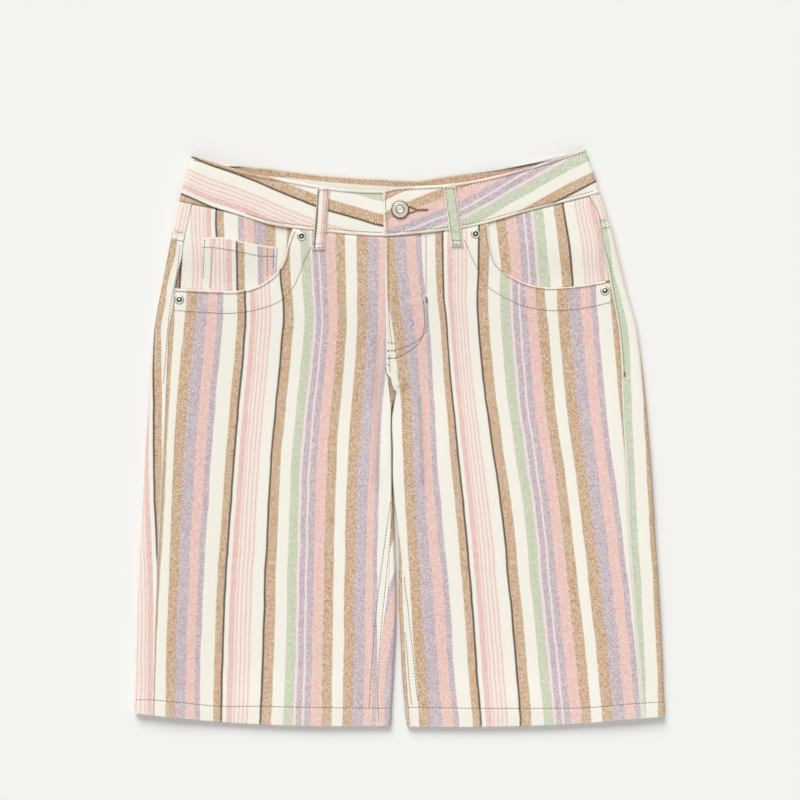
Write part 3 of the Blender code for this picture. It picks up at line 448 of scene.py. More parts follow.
def stripedTwillGroup():  # stripes along the warp, flecked by the ecru weft
    tree, given, out = makeGroup("stripedTwill", [
        ("Weave", "NodeSocketVector", None), ("Wear", "NodeSocketFloat", 0.0), ("Fade", "NodeSocketFloat", 0.0),
        ("Fleck", "NodeSocketFloat", 1.0), ("PaintedShade", "NodeSocketFloat", 0.0)],
        [("Color", "NodeSocketColor"), ("Height", "NodeSocketFloat")])
    parts = addNode(tree, "ShaderNodeSeparateXYZ")
    tree.links.new(given.outputs["Weave"], parts.inputs[0])
    u = sums(tree, "MULTIPLY", parts.outputs[0], 1000.0)
    v = sums(tree, "MULTIPLY", parts.outputs[1], 1000.0)
    flat = addNode(tree, "ShaderNodeCombineXYZ")
    tree.links.new(u, flat.inputs[0])
    tree.links.new(v, flat.inputs[1])

    def noise(scale, detail, roughness, stretchU, stretchV, offset):
        mapping = addNode(tree, "ShaderNodeMapping")
        mapping.inputs["Scale"].default_value = (stretchU, stretchV, 1)
        mapping.inputs["Location"].default_value = (offset, offset * 1.7, 0)
        tree.links.new(flat.outputs[0], mapping.inputs["Vector"])
        node = addNode(tree, "ShaderNodeTexNoise", noise_dimensions="2D")
        node.inputs["Scale"].default_value = scale
        node.inputs["Detail"].default_value = detail
        node.inputs["Roughness"].default_value = roughness
        tree.links.new(mapping.outputs[0], node.inputs["Vector"])
        return node.outputs["Fac"]

    def wave(place, pitch):
        return sums(tree, "SINE", sums(tree, "MULTIPLY", place, 2 * math.pi / pitch))

    fuzz = sums(tree, "MULTIPLY", sums(tree, "SUBTRACT", noise(1.1, 2, 0.6, 1, 1, 3.0), 0.5), 0.9)
    drift = sums(tree, "MULTIPLY", sums(tree, "SUBTRACT", noise(0.03, 1, 0.5, 1, 1, 9.0), 0.5), 1.6)
    steps = wave(v, 2.6)
    shifted = sums(tree, "ADD", sums(tree, "ADD", u, fuzz), sums(tree, "MULTIPLY_ADD", steps, 0.42, drift))
    share = sums(tree, "FRACT", sums(tree, "DIVIDE", shifted, stripeRepeat))
    ramp = addNode(tree, "ShaderNodeValToRGB")
    ramp.color_ramp.interpolation = "CONSTANT"
    while len(ramp.color_ramp.elements) < len(stripeOrder):
        ramp.color_ramp.elements.new(0.99)
    for element, (start, name) in zip(ramp.color_ramp.elements, stripeOrder):
        element.position = start / stripeRepeat
    for element, (start, name) in zip(ramp.color_ramp.elements, stripeOrder):
        element.color = yarns[name]
    tree.links.new(share, ramp.inputs[0])
    row = sums(tree, "FLOOR", sums(tree, "DIVIDE", v, 0.95))
    column = sums(tree, "FLOOR", sums(tree, "DIVIDE", sums(tree, "MULTIPLY_ADD", row, 0.37, u), 0.95))
    cell = addNode(tree, "ShaderNodeCombineXYZ")
    tree.links.new(column, cell.inputs[0])
    tree.links.new(row, cell.inputs[1])
    picks = addNode(tree, "ShaderNodeTexWhiteNoise", noise_dimensions="2D")
    tree.links.new(cell.outputs[0], picks.inputs["Vector"])
    soft = sums(tree, "SUBTRACT", noise(0.7, 1, 0.6, 1, 0.7, 21.0), 0.5)
    rib = wave(sums(tree, "MULTIPLY_ADD", soft, 4.0, sums(tree, "ADD", u, v)), 2.3)
    fleck = sums(tree, "ADD", sums(tree, "MULTIPLY", sums(tree, "SUBTRACT", picks.outputs["Value"], 0.5), 0.5),
                 sums(tree, "MULTIPLY_ADD", rib, 0.05, sums(tree, "MULTIPLY", soft, 0.08)))
    dense = sums(tree, "SUBTRACT", ramp.outputs[1], 0.6, clamp=True)  # the fine dark yarns, tightly packed
    dots = sums(tree, "MULTIPLY", sums(tree, "MULTIPLY_ADD", steps, 0.7, 0.1, clamp=True), dense)
    calm = sums(tree, "MULTIPLY", given.outputs["Fleck"], sums(tree, "MULTIPLY_ADD", dense, -2.4, 1.0))
    covered = sums(tree, "MULTIPLY_ADD", fleck, calm, ramp.outputs[1])
    covered = sums(tree, "SUBTRACT", sums(tree, "SUBTRACT", covered, dots), given.outputs["Fade"])
    worn = sums(tree, "MULTIPLY", given.outputs["Wear"], sums(tree, "ADD", sums(tree, "MULTIPLY", fleck, 1.6), 1.0))
    covered = sums(tree, "MULTIPLY", covered, sums(tree, "SUBTRACT", 1.0, worn, clamp=True), clamp=True)
    colour = mixColours(tree, covered, ecru, ramp.outputs[0])
    shade = sums(tree, "MULTIPLY_ADD", fleck, 0.03, 1.0)
    shadeColour = addNode(tree, "ShaderNodeCombineXYZ")
    for i in range(3):
        tree.links.new(shade, shadeColour.inputs[i])
    colour = mixColours(tree, 1.0, colour, shadeColour.outputs[0], "MULTIPLY")
    # painted shade: the colour goes towards deep brown where the paintedShade attribute is high
    paintedShade = sums(tree, "ADD", given.outputs["PaintedShade"], 0.0, clamp=True)
    tree.links.new(mixColours(tree, paintedShade, colour, linear(40, 29, 18)), out.inputs["Color"])
    tree.links.new(sums(tree, "MULTIPLY", rib, 0.35), out.inputs["Height"])
    return tree


stripedTwill = stripedTwillGroup()
denimFinish = {"face": {"fade": 0.0, "fleck": 1.0, "bump": 0.22}, "inside": {"fade": 0.3, "fleck": 0.8, "bump": 0.2}}


def newMaterial(name):
    material = bpy.data.materials.new(name)
    material.use_nodes = True
    return material, material.node_tree, material.node_tree.nodes["Principled BSDF"]


def addBump(tree, shader, height, strength, distance):
    bump = addNode(tree, "ShaderNodeBump", (-200, -200))
    bump.inputs["Strength"].default_value = strength
    bump.inputs["Distance"].default_value = distance
    tree.links.new(height, bump.inputs["Height"])
    tree.links.new(bump.outputs[0], shader.inputs["Normal"])


def denimMaterial(name, fade, fleck, bump):
    material, tree, shader = newMaterial(name)
    weave = addNode(tree, "ShaderNodeUVMap", (-700, 0), uv_map="weave")
    wear = addNode(tree, "ShaderNodeAttribute", (-700, -200), attribute_name="wear")
    twill = addNode(tree, "ShaderNodeGroup", (-450, 0), node_tree=stripedTwill)
    twill.inputs["Fade"].default_value = fade
    twill.inputs["Fleck"].default_value = fleck
    tree.links.new(weave.outputs[0], twill.inputs["Weave"])
    tree.links.new(wear.outputs["Fac"], twill.inputs["Wear"])
    # painted shade, read from the paintedShade attribute of each cloth piece
    paintedShade = addNode(tree, "ShaderNodeAttribute", (-700, -400), attribute_name="paintedShade")
    tree.links.new(paintedShade.outputs["Fac"], twill.inputs["PaintedShade"])
    tree.links.new(twill.outputs["Color"], shader.inputs["Base Color"])
    addBump(tree, shader, twill.outputs["Height"], bump, 0.0004)
    shader.inputs["Roughness"].default_value = 0.9
    shader.inputs["Specular IOR Level"].default_value = 0.08
    return material


denimFace = denimMaterial("denimFace", **denimFinish["face"])
denimInside = denimMaterial("denimInside", **denimFinish["inside"])
print("denim woven")


# relief that all layers on top share: soft folds, each a line with its height and half width
softFolds = [{"line": [(-23.5, 84), (-27, 30), (-24, -59)], "high": 0.9, "wide": 6},
             {"line": [(20, 40), (25, -10), (30, -62)], "high": 0.9, "wide": 6}]


def relief(x, y):
    z = (0.22 * np.sin(x / 31 + 0.6 * np.sin(y / 43)) * np.cos(y / 52 + 1.1)
         + 0.12 * np.sin(x / 14 + y / 37) * np.sin(y / 19 - x / 60))
    for fold in softFolds:
        away, place, length = lineDistance(x, y, alongLine(fold["line"], 8))
        ridge = fold["high"] * np.exp(-(away / fold["wide"]) ** 2)
        z = z + ridge * smooth(0, 25, place) * smooth(0, 25, length - place)
    return z


# painted shade along folds: each line, the width and the strength of its painted shade
foldShadeLines = [{"line": [(-22.6, 94), (-21.8, 60), (-23.2, 20), (-24.5, -40)], "wide": 3.2, "dark": 0.15},
               {"line": [(4.2, 58), (3.8, 12)], "wide": 0.9, "dark": 0.26},
               {"line": [(19.6, 38), (21.2, 8), (23.0, -42)], "wide": 2.8, "dark": 0.2},
               {"line": [(-2.4, 65), (-1.5, 58), (-1.2, 50), (-1.8, 44)], "wide": 0.6, "dark": 0.3}]
# painted shadow in the narrow slit under the crotch: its width from the inner fold, its strength along y on each
# half, and in patch the painted shade on the inside of the back beside the crotch
slit = {"wide": (0.2, 1.1), "right": [(-120, 0), (-80, 0.5), (-52, 0.85), (30, 1.0), (36, 0.6), (43, 0.3)],
        "left": [(-70, 0), (-50, 0.8), (30, 0.95), (35, 0.3), (43, 0)], "patch": 0.26}


def slitShade(half, y):
    return np.interp(y, *np.array(slit["right" if half is right else "left"]).T)


# painted shade of the folds on top, and painted shadow in the narrow slit under the crotch
def paintedShadeOf(half, across, y):  # darkness of folds on top, and of the narrow slit under the crotch
    x = half.sign * across
    dark = np.zeros(np.shape(x))
    for fold in foldShadeLines:
        away, place, length = lineDistance(x, y, fold["line"])
        dark = dark + fold["dark"] * np.exp(-(away / fold["wide"]) ** 2)
    inSlit = (1 - smooth(*slit["wide"], across - half.inner(y))) * (y < cloth["crotch"])
    return np.maximum(dark, slitShade(half, y) * inSlit)


def rimDistance(grid):  # distance from the nearest edge of a grid, along its rows and columns
    rows = np.concatenate([np.zeros((1, grid.shape[1])),
                           np.cumsum(np.linalg.norm(np.diff(grid, axis=0), axis=2), axis=0)])
    columns = np.concatenate([np.zeros((grid.shape[0], 1)),
                              np.cumsum(np.linalg.norm(np.diff(grid, axis=1), axis=2), axis=1)], axis=1)
    return np.minimum.reduce([rows, rows[-1:] - rows, columns, columns[:, -1:] - columns])


def shell(node, outer, inner, u, v, wear=None, flip=False, paintedShade=None):
    # a closed layer of cloth, in place of a CAD node
    name = node + "_cloth"
    away = rimDistance(outer)[..., None]
    gap = inner - outer
    thick = np.maximum(np.linalg.norm(gap, axis=2, keepdims=True), 1e-6)
    r = 0.42 * thick
    cut = np.where(away < r, r - np.sqrt(np.maximum(r ** 2 - (r - away) ** 2, 0)), 0)
    outer, inner = outer + gap / thick * cut, inner - gap / thick * cut
    rows, columns = outer.shape[:2]
    count = rows * columns
    index = np.arange(count).reshape(rows, columns)
    quads = np.stack([index[:-1, :-1], index[:-1, 1:], index[1:, 1:], index[1:, :-1]], axis=-1).reshape(-1, 4)
    ring = np.concatenate([index[0, :-1], index[:-1, -1], index[-1, :0:-1], index[:0:-1, 0]])
    after = np.roll(ring, -1)
    rim = np.stack([after, ring, ring + count, after + count], axis=1)
    faces = np.concatenate([quads, quads[:, ::-1] + count, rim])
    points = np.concatenate([outer.reshape(-1, 3), inner.reshape(-1, 3)])
    a, b, c = points[faces[:, 0]], points[faces[:, 1]], points[faces[:, 2]]
    d = points[faces[:, 3]]
    volume = ((a * np.cross(b, c)).sum() + (a * np.cross(c, d)).sum()) / 6
    if volume < 0:
        faces = faces[:, ::-1]
    mesh = bpy.data.meshes.new(name)
    mesh.from_pydata((points * mm).tolist(), [], faces.tolist())
    layer = mesh.uv_layers.new(name="weave")
    loops = np.empty(len(mesh.loops), dtype=np.int32)
    mesh.loops.foreach_get("vertex_index", loops)
    both = np.stack([np.tile(np.broadcast_to(u, (rows, columns)).ravel(), 2),
                     np.tile(np.broadcast_to(v, (rows, columns)).ravel(), 2)], axis=1) * mm
    layer.data.foreach_set("uv", both[loops].ravel())
    # wear is real edge wear; paintedShade is painted shade on folds, along the side seam and in the slit
    for label, values in (("wear", wear), ("paintedShade", paintedShade)):
        sides = values if isinstance(values, tuple) else (values, values)  # outer face, inner face
        values = np.concatenate([np.broadcast_to(0.0 if each is None else each, (rows, columns)).ravel()
                                 for each in sides])
        mesh.attributes.new(label, "FLOAT", "POINT").data.foreach_set("value", values)
    mesh.materials.append(denimFace)
    mesh.materials.append(denimInside)
    slots = np.zeros(len(mesh.polygons), dtype=np.int32)
    slots[len(quads):2 * len(quads)] = 1
    if flip:
        slots[:] = 0
    mesh.polygons.foreach_set("material_index", slots)
    mesh.shade_smooth()
    mesh.set_sharp_from_angle(angle=math.radians(50))
    piece = bpy.data.objects.new(name, mesh)
    bpy.context.scene.collection.objects.link(piece)
    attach(piece, "root")
    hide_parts(node)
    return piece


# topstitching on top, each line as it is sewn
def offsetLine(points, away):  # the same line, moved sideways
    points = alongLine(points, 4)
    direction = np.gradient(points, axis=0)
    direction /= np.linalg.norm(direction, axis=1, keepdims=True)
    return points + np.stack([-direction[:, 1], direction[:, 0]], axis=1) * away


rightLines = {
    "mouthEdge": offsetLine([(-101.8, 198.3), (-106.2, 186.7), (-109.4, 172), (-114.8, 161.4), (-123, 153.2),
                             (-134.5, 145.7), (-150, 141.2), (-178, 140.8), (-214, 142.8)], 2.6),
    "mouthInner": [(-84.3, 182.7), (-91.6, 166.3), (-102.6, 142.5), (-111.7, 132.5), (-133.6, 123.3), (-157.4, 119.3),
                   (-190, 120.2), (-215.8, 121.9)],
    "inseamOuter": [(-8.6, -60), (-16.8, -120), (-22.1, -163), (-26.5, -215), (-28.6, -248), (-28.9, -257)],
    "inseamInner": [(-5.8, -63), (-11.3, -120), (-18.5, -193), (-21.0, -232), (-21.2, -248), (-20.2, -272)],
    "hem": [(-252.2, -249.8), (-234, -250), (-222, -251.2), (-202, -253.1), (-178.5, -255.9), (-130, -256.4),
            (-84.6, -257.4), (-8.5, -258.2)]}
leftLines = {
    "mouthEdge": offsetLine([(83.6, 203.7), (86.3, 182.7), (92.7, 166.3), (107.3, 153.9), (125.5, 146.1),
                             (142, 143.7), (154.8, 144.1), (173, 145.6), (201, 150.8)], -1.9),
    "mouthInner": [(61.7, 189), (73.5, 162.6), (82.7, 146), (100, 134.3), (118.3, 126), (140.2, 122), (164, 122.4),
                   (182, 125), (204, 130.2)],
    "flyStraight": [(25.2, 193), (25.2, 137.5)],
    "flyInner": [(22.6, 132), (23.9, 114.6), (23.4, 104.5), (20.4, 95.7), (16.5, 92.8), (8.3, 87.9), (1, 85.5),
                 (-12.4, 82.8)],
    "flyOuter": [(26.8, 132), (26.8, 114.6), (25.3, 103.5), (22.3, 97.7), (18, 90.3), (13.2, 86), (5.8, 81.2),
                 (-1, 77.7), (-12, 75.7)],
    "inseamInner": [(5.2, -186), (7.5, -210), (8.9, -230), (10.1, -242), (11.5, -255)],
    "inseamOuter": [(4.4, -132.7), (5.6, -146), (7.3, -156), (9.8, -181), (12.6, -204), (15.5, -236), (17.6, -252)],
    "hem": [(8, -257.4), (72.7, -258.2), (145.5, -258.2), (182.2, -257.4), (209.5, -254.6), (235.3, -252.8),
            (252.5, -251.8)]}
rightLines = {name: alongLine(points, 2.5) for name, points in rightLines.items()}
leftLines = {name: alongLine(points, 2.5) for name, points in leftLines.items()}
hemDetail = {"puff": 0.35, "ripple": 0.34, "pitch": 8.5, "wear": 0.07, "edgeWear": 0.15}


def linesOf(half):
    return rightLines if half is right else leftLines


def panelDetail(half, x, y, low, names=None):  # height and wear of seams, hem and rims
    lines = linesOf(half)
    hem = lines["hem"]
    if names is not None:
        lines = {name: lines[name] for name in names}
    z = np.zeros(np.shape(x))
    wear = np.zeros(np.shape(x))
    for name, line in lines.items():
        away, place, length = lineDistance(x, y, line)
        pucker = 0.5 + 0.5 * np.sin(place / 3.1 + 1.7 * np.sin(place / 17))
        z = z - (0.16 + 0.12 * pucker) * np.exp(-(away / 1.1) ** 2)
        z = z + 0.12 * pucker * np.exp(-(away / 3.5) ** 2)
    hemLine = np.interp(half.sign * x, *np.array(sorted((half.sign * a, b) for a, b in hem)).T)
    below = smooth(1.0, -1.5, y - hemLine)
    ripple = np.sin((x + 0.7 * (y - hemLine)) * 2 * math.pi / hemDetail["pitch"] + 1.5 * np.sin(x / 23))
    edge = y - low
    ripple = hemDetail["ripple"] * ripple * smooth(0, 5, edge) * smooth(0, -4, y - hemLine)
    z = z + below * (hemDetail["puff"] + ripple)
    wear = wear + below * hemDetail["wear"] + (1 - smooth(0.8, 2.6, edge)) * hemDetail["edgeWear"]
    return z, wear


def rimShape(away, wide, high):  # a soft folded edge, lowest at its stitches
    t = np.clip(away / wide, 0, 1.6)
    return high * np.where(t < 1, np.sin(math.pi * t) ** 0.8, -0.35 * np.sin(math.pi * (t - 1) / 0.6))


panelGuess = {"hem": -270.0, "front": 460.0, "back": 455.0, "yoke": 70.0}  # hem's height and panels' lengths, roughly
panelEdge = (0, 0.15, 0.4, 0.9, 1.7, 2.6, 3.6)  # rows that round a panel's edge


def hemWall(height):  # thickness of the cloth at a height over the hem's lower edge
    return mix(cloth["hemThick"], cloth["thick"], smooth(cloth["hemDeep"] - 0.3, cloth["hemDeep"] + 0.8, height))


def raisedRelief(half, x, y, z):  # the shared relief, left out where the cloth lies low
    return relief(x, y) * smooth(0, 6, z - half.fold(y) + 2)


def frontSheet(name, half, innerEdge, lift, guides):
    step, tuck = cloth["grid"], cloth["tuck"]
    mouth = half.mouth
    innerMost = float(innerEdge(cloth["waist"]))
    xs = np.linspace(innerMost, mouth[0] - 1.5, 300)
    sideX = settle(200.0, lambda x: float(half.seam(half.mouthLine(x)) + tuck), 0.5, 60)
    mouthXs = np.linspace(mouth[0], sideX, 1500)
    path = np.concatenate([np.stack([xs, half.bandLine(xs) + 3.5], axis=1),
                           np.stack([mouthXs, half.mouthLine(mouthXs)], axis=1)])
    arc = np.concatenate([[0], np.cumsum(np.linalg.norm(np.diff(path, axis=0), axis=1))])
    places = spread(arc[-1], step)
    topX, topY = np.interp(places, arc, path[:, 0]), np.interp(places, arc, path[:, 1])

    def lowReach(y):
        return frontReach(half, innerEdge(y), y) - 0.2

    ys = np.arange(-330.0, 300.0, 2.0)
    evenLows = np.convolve(np.pad(lowReach(ys), 20, mode="edge"), np.ones(41) / 41, mode="valid")

    def evenLow(y):  # the inner edge without its corners, for the columns away from it
        return np.interp(y, ys, evenLows)

    def edgeShift(part, y):
        return (lowReach(y) - evenLow(y)) * (1 - smooth(0, 0.3, part))

    def reachAt(part, y):
        return mix(evenLow(y), half.seam(y) + tuck, part) + edgeShift(part, y)

    def partAt(part):
        share = (topX - evenLow(topY) - edgeShift(part, topY)) / (half.seam(topY) + tuck - evenLow(topY))
        return np.clip(share, 0, 1)

    part = settle(np.zeros(len(topX)), partAt, 0.7)
    hemY = settle(np.full(len(part), panelGuess["hem"]), lambda y: half.hem(reachAt(part, y)))
    levels = shares(panelGuess["front"], step, panelEdge)
    y = hemY + (topY - hemY) * levels[:, None]
    part = np.broadcast_to(part, y.shape)
    reach = reachAt(part, y)
    flatPoint = frontPoint(half, reach, y, 0)
    x = flatPoint[..., 0]
    detail, wear = panelDetail(half, x, y, np.broadcast_to(hemY, y.shape))
    mouthAway, _, _ = lineDistance(np.abs(x), y, np.stack([mouthXs, half.mouthLine(mouthXs)], axis=1)[::12])
    detail = detail + rimShape(mouthAway, 2.8, 0.4)
    wear = np.maximum(wear, 0.8 * (1 - smooth(0.6, 1.5, mouthAway)))
    fromInner = reach - lowReach(y)
    seamEdge = (1 - smooth(0.8, 2.2, fromInner)) * np.where(y < cloth["flyEnd"], 0.6, 0.75)
    if half is left:
        wear = np.maximum(wear, seamEdge)
        detail = detail + rimShape(fromInner, 2.6, 0.35)
    else:
        wear = np.maximum(wear, np.where(y < cloth["crotch"], seamEdge, 0))
        detail = detail + np.where(y < cloth["crotch"] - 2, rimShape(fromInner, 2.6, 0.35), 0)
    dive = (1.3 * smooth(-1.4, 1.2, reach - half.seam(y)) + 2.7 * smooth(-1.2, 1.4, y - half.bandLine(reach)))
    top = lift(reach, y) + raisedRelief(half, x, y, flatPoint[..., 2]) + detail - dive
    thick = hemWall(y - hemY)
    outer = frontPoint(half, reach, y, -top)
    inner = frontPoint(half, reach, y, thick - top)
    u = stripesFrom(guides, y, x)
    # painted shade: on the folds, in the slit under the crotch, and as a shadow along the side seam (seamShade)
    dark = np.maximum(paintedShadeOf(half, half.sign * x, y), cloth["seamShade"] * smooth(-1.8, -0.4, reach - half.seam(y)))
    piece = shell(name, outer, inner, u, y, wear, paintedShade=dark)
    return piece


frontRight = frontSheet("front_right", right, rightFrontEdge, lambda a, y: 0.0, rightStripes)
frontLeft = frontSheet("front_left", left, leftFrontEdge, flyLift, leftStripes)
print("fronts laid")


# back panels and yokes: from the side seam round the side fold, under, and up round the inner fold
rightBackStripes = {"seam": [(183, 43.6), (151, 42.0), (132, 41.7), (113, 41.2), (89, 42.8), (36, 45.2), (-59, 50.6),
                             (-107, 55.2), (-135, 57.6), (-155, 59.0), (-193, 60.2), (-231, 61.2)],
                    "inner": [(36, 55.4), (-60, 55.2), (-82, 54.6), (-94, 53.2), (-102, 50.4), (-126, 41), (-145, 35),
                              (-199, 29), (-233, 27)],
                    "turns": 344.6, "yoke": 70.5, "patch": 5.5}
leftBackStripes = {"seam": [(183, 123.4), (151, 121.9), (132, 123.8), (113, 124.9), (92, 125.2), (65, 124.6),
                            (36, 125.0), (-2, 124.6), (-42, 123.9), (-59, 124.4), (-103, 124.6), (-147, 124.3),
                            (-191, 123.0), (-231, 121.1), (-253, 119.8), (-270, 118.3)],
                   "inner": [(36, -6), (-60, -6), (-86, -5), (-98, 1.5), (-112, 4), (-155, 3.5), (-226, 5.6),
                             (-260, 8.5)],
                  "turns": -172.3, "yoke": 80.0}


def bandEnds(half):
    lowX, lowY, highX, highY = half.band[-1]
    length = math.hypot(highX - lowX, highY - lowY)
    return (lowX, lowY), (highX, highY), (half.sign * (highY - lowY) / length, -half.sign * (highX - lowX) / length)


def allBackBandRows():
    ends = []
    for half in (right, left):
        lower, upper, out = bandEnds(half)
        inward = cloth["bandFold"] + cloth["bandWrap"] + cloth["lay"]
        ends.append(tuple(point[k] - out[k] * inward for point in (lower, upper) for k in (0, 1)))
    return [ends[0]] + backBandRows + [ends[1]]


backBandLine = through([(row[0], row[1]) for row in allBackBandRows()], 1)


def backNodes(half, y):  # where the back starts, lies flat, and ends, measured along the cloth
    roll = half.roll(y)
    axis = half.side(y) - roll
    bend = math.pi * roll
    start = half.seam(y) - axis
    start = np.where(start > 0, roll * np.arcsin(np.clip(start / roll, -1, 1)), start)
    r = half.fold(y)
    crotch = cloth["crotch"]
    seat = half.sign * mix(-3.0, 2.0, smooth(crotch, cloth["waist"], y)) + 0.1
    seat = mix(half.inner(crotch) + cloth["crotchFold"], seat, smooth(crotch, crotch + 10, y))
    flatEnd = np.where(y > crotch, axis - seat + bend, axis - (half.inner(y) + r) + bend)
    fromAxis = half.inner(y) + r - half.inseam(y)
    full = flatEnd + np.where(fromAxis > 0, r * (math.pi - np.arcsin(np.clip(fromAxis / r, -1, 1))),
                              math.pi * r - fromAxis)
    end = np.where(y > crotch, flatEnd, mix(flatEnd, full, smooth(crotch, crotch - 9, y)))
    return start, bend, flatEnd, end


def backColumns():  # each column: which stretch it is on, and how far along that
    step = cloth["grid"]
    first = np.concatenate([[0, 0.15, 0.4, 0.9, 1.7, 2.6, 3.6], np.linspace(5.2, 28, 14)]) / 28
    middle = np.linspace(0, 1, round(225 / step))[1:]
    last = np.concatenate([np.linspace(0, 25, 16)[1:], [26.2, 27.2, 27.8, 28.2, 28.5]]) / 28.5
    return np.concatenate([first, 1 + middle, 2 + last])


def backRun(half, y, columns):
    start, bend, flatEnd, end = backNodes(half, y)
    anchor = flatEnd - 10
    last = end + cloth["tuck"] * smooth(cloth["crotch"] - 4, cloth["crotch"] - 12, y)
    run = mix(start - 0.2, bend, np.clip(columns, 0, 1))
    run = run + (anchor - bend) * np.clip(columns - 1, 0, 1)
    return run + (last - anchor) * np.clip(columns - 2, 0, 1)


def yokeSeam(half, run, y):
    bend = math.pi * half.roll(y)
    width = half.side(y) - half.roll(y) + bend / 2
    return mix(half.yokeSide, yokeMiddle, np.abs(run - bend / 2) / width)


def backTop(half, run, y):
    axis = half.side(y) - half.roll(y)
    bend = math.pi * half.roll(y)
    atFront = half.bandLine(np.minimum(axis + np.minimum(run, 0), half.side(y)))
    atBack = backBandLine(half.sign * (axis - np.maximum(run - bend, 0)))
    return mix(atFront, atBack, smooth(0, bend, run))


def backHem(half, run, y):
    x = backPoint(half, run, y, 0)[..., 0]
    return half.hem(np.where(half.sign * x > 0, np.abs(x), 0))


def meet(half, edge, columns, y):
    return settle(np.full(columns.shape, float(y)), lambda y: edge(half, backRun(half, y, columns), y))


def backU(half, run, y, stripes):
    seamU, innerU = through(stripes["seam"], 1), through(stripes["inner"], 1)
    sign = np.sign(stripes["turns"])
    low = np.minimum(y, 34.0)
    def spare(y):
        nodes = backNodes(half, y)
        return sign * (innerU(y) + stripes["turns"] - seamU(y)) - (nodes[3] - nodes[0])

    extra = spare(low)
    even = np.interp(low, (-260, 30), [float(spare(np.array(float(place)))) for place in (-260, 30)])
    along = run - backNodes(half, y)[0]
    shift = even * smooth(30, 230, along) + (extra - even) * smooth(165, 243, along)
    shift = shift + stripes.get("patch", 0) * smooth(36, 44, y) * smooth(225, 250, along)
    return seamU(y) + sign * (along + shift)


def backSheet(name, half, stripes, yoke=False):
    columns = backColumns()
    tuck = cloth["tuck"]
    if yoke:
        low = meet(half, yokeSeam, columns, 180) - tuck
        high = meet(half, backTop, columns, 215) + 3.5
        levels = shares(panelGuess["yoke"], cloth["grid"], panelEdge[:5])
    else:
        low = meet(half, backHem, columns, panelGuess["hem"])
        high = meet(half, yokeSeam, columns, 180)
        levels = shares(panelGuess["back"], cloth["grid"], panelEdge)
    y = low + (high - low) * levels[:, None]
    columns = np.broadcast_to(columns, y.shape)
    run = backRun(half, y, columns)
    start, bend, flatEnd, end = backNodes(half, y)
    point = backPoint(half, run, y, 0)
    x = point[..., 0]
    onTop = (run < bend / 2) | ((run > flatEnd + 5) & (y < cloth["crotch"]))
    sideEdge = run - start
    dive = 1.3 * smooth(-1.2, 1.4, run - end) * (y < cloth["crotch"] - 6)
    puff = rimShape(sideEdge, 2.6, 0.4)
    wear = 0.7 * (1 - smooth(0.5, 1.2, sideEdge))
    if yoke:
        dive = dive + 1.3 * smooth(1.2, -1.2, y - low - tuck) + 2.6 * smooth(-1.2, 1.4, y - high + 3.5)
        thick = cloth["thick"]
        u = stripes["yoke"] + np.sign(stripes["turns"]) * (run - start)
    else:
        detail, hemWear = panelDetail(half, x, y, np.broadcast_to(low, y.shape), ["hem"])
        puff = puff + detail * np.where(onTop, 1, 0.5) + rimShape(high - y, 2.6, 0.4)
        wear = np.maximum(np.maximum(wear, hemWear), 0.6 * (1 - smooth(1.0, 2.2, high - y)))
        boxed = (0.75 if half is right else 0.2) * (1 - smooth(7.0, 8.2, high - y)) * (run < bend / 2)
        wear = np.maximum(wear, boxed)
        puff = puff + 0.35 * (1 - smooth(7.4, 8.6, high - y)) * (run < bend * 0.8)
        thick = hemWall(y - low)
        u = backU(half, run, y, stripes)
    lift = raisedRelief(half, x, y, point[..., 2]) * onTop
    outer = backPoint(half, run, y, dive - puff - lift)
    inner = backPoint(half, run, y, dive - puff - lift + thick)
    outer[..., 2] = np.maximum(outer[..., 2], 0.0)
    inner[..., 2] = np.maximum(inner[..., 2], 0.5)
    # painted shadow in the slit under the crotch, on the cloth that turns round the inner fold
    paintedShade = slitShade(half, y) * (run > flatEnd)
    paintedShade = paintedShade * (1 - smooth(*slit["wide"], half.sign * x - half.inner(y))) * (y < cloth["crotch"])
    # painted shade on the inside face of the right back, above the crotch
    paintedShadeInside = slit["patch"] * (half is right) * smooth(26, 32, y) * smooth(64, 58, y) * smooth(-14, -12, x)
    piece = shell(name, outer, inner, u, y, wear, flip=half is right, paintedShade=(paintedShade, np.maximum(paintedShade, paintedShadeInside)))
    return piece


backRight = backSheet("back_right", right, rightBackStripes)
backLeft = backSheet("back_left", left, leftBackStripes)
yokeRight = backSheet("yoke_right", right, rightBackStripes, yoke=True)
yokeLeft = backSheet("yoke_left", left, leftBackStripes, yoke=True)
print("backs and yokes laid")


# pocket facings and coin pocket, under the curved mouths
coinCut = {"top": [(-188, 191.0), (-167, 191.0), (-143, 185.9), (-116.6, 181.9)], "deep": 9, "sides": (116.6, 187.8),
           "lean": 0.08}


def facingDepth(half, layers, across, y):
    line = np.stack([np.linspace(half.mouth[0], half.mouth[-1], 60)] * 2, axis=1)
    line[:, 1] = half.mouthLine(line[:, 0])
    away, _, _ = lineDistance(across, y, line)
    away = np.where((across < half.mouth[0]) | (y < half.mouthLine(across)), 0, away)
    return mix(layers * cloth["over"] + 0.6, 0.6, smooth(4, 45, away))


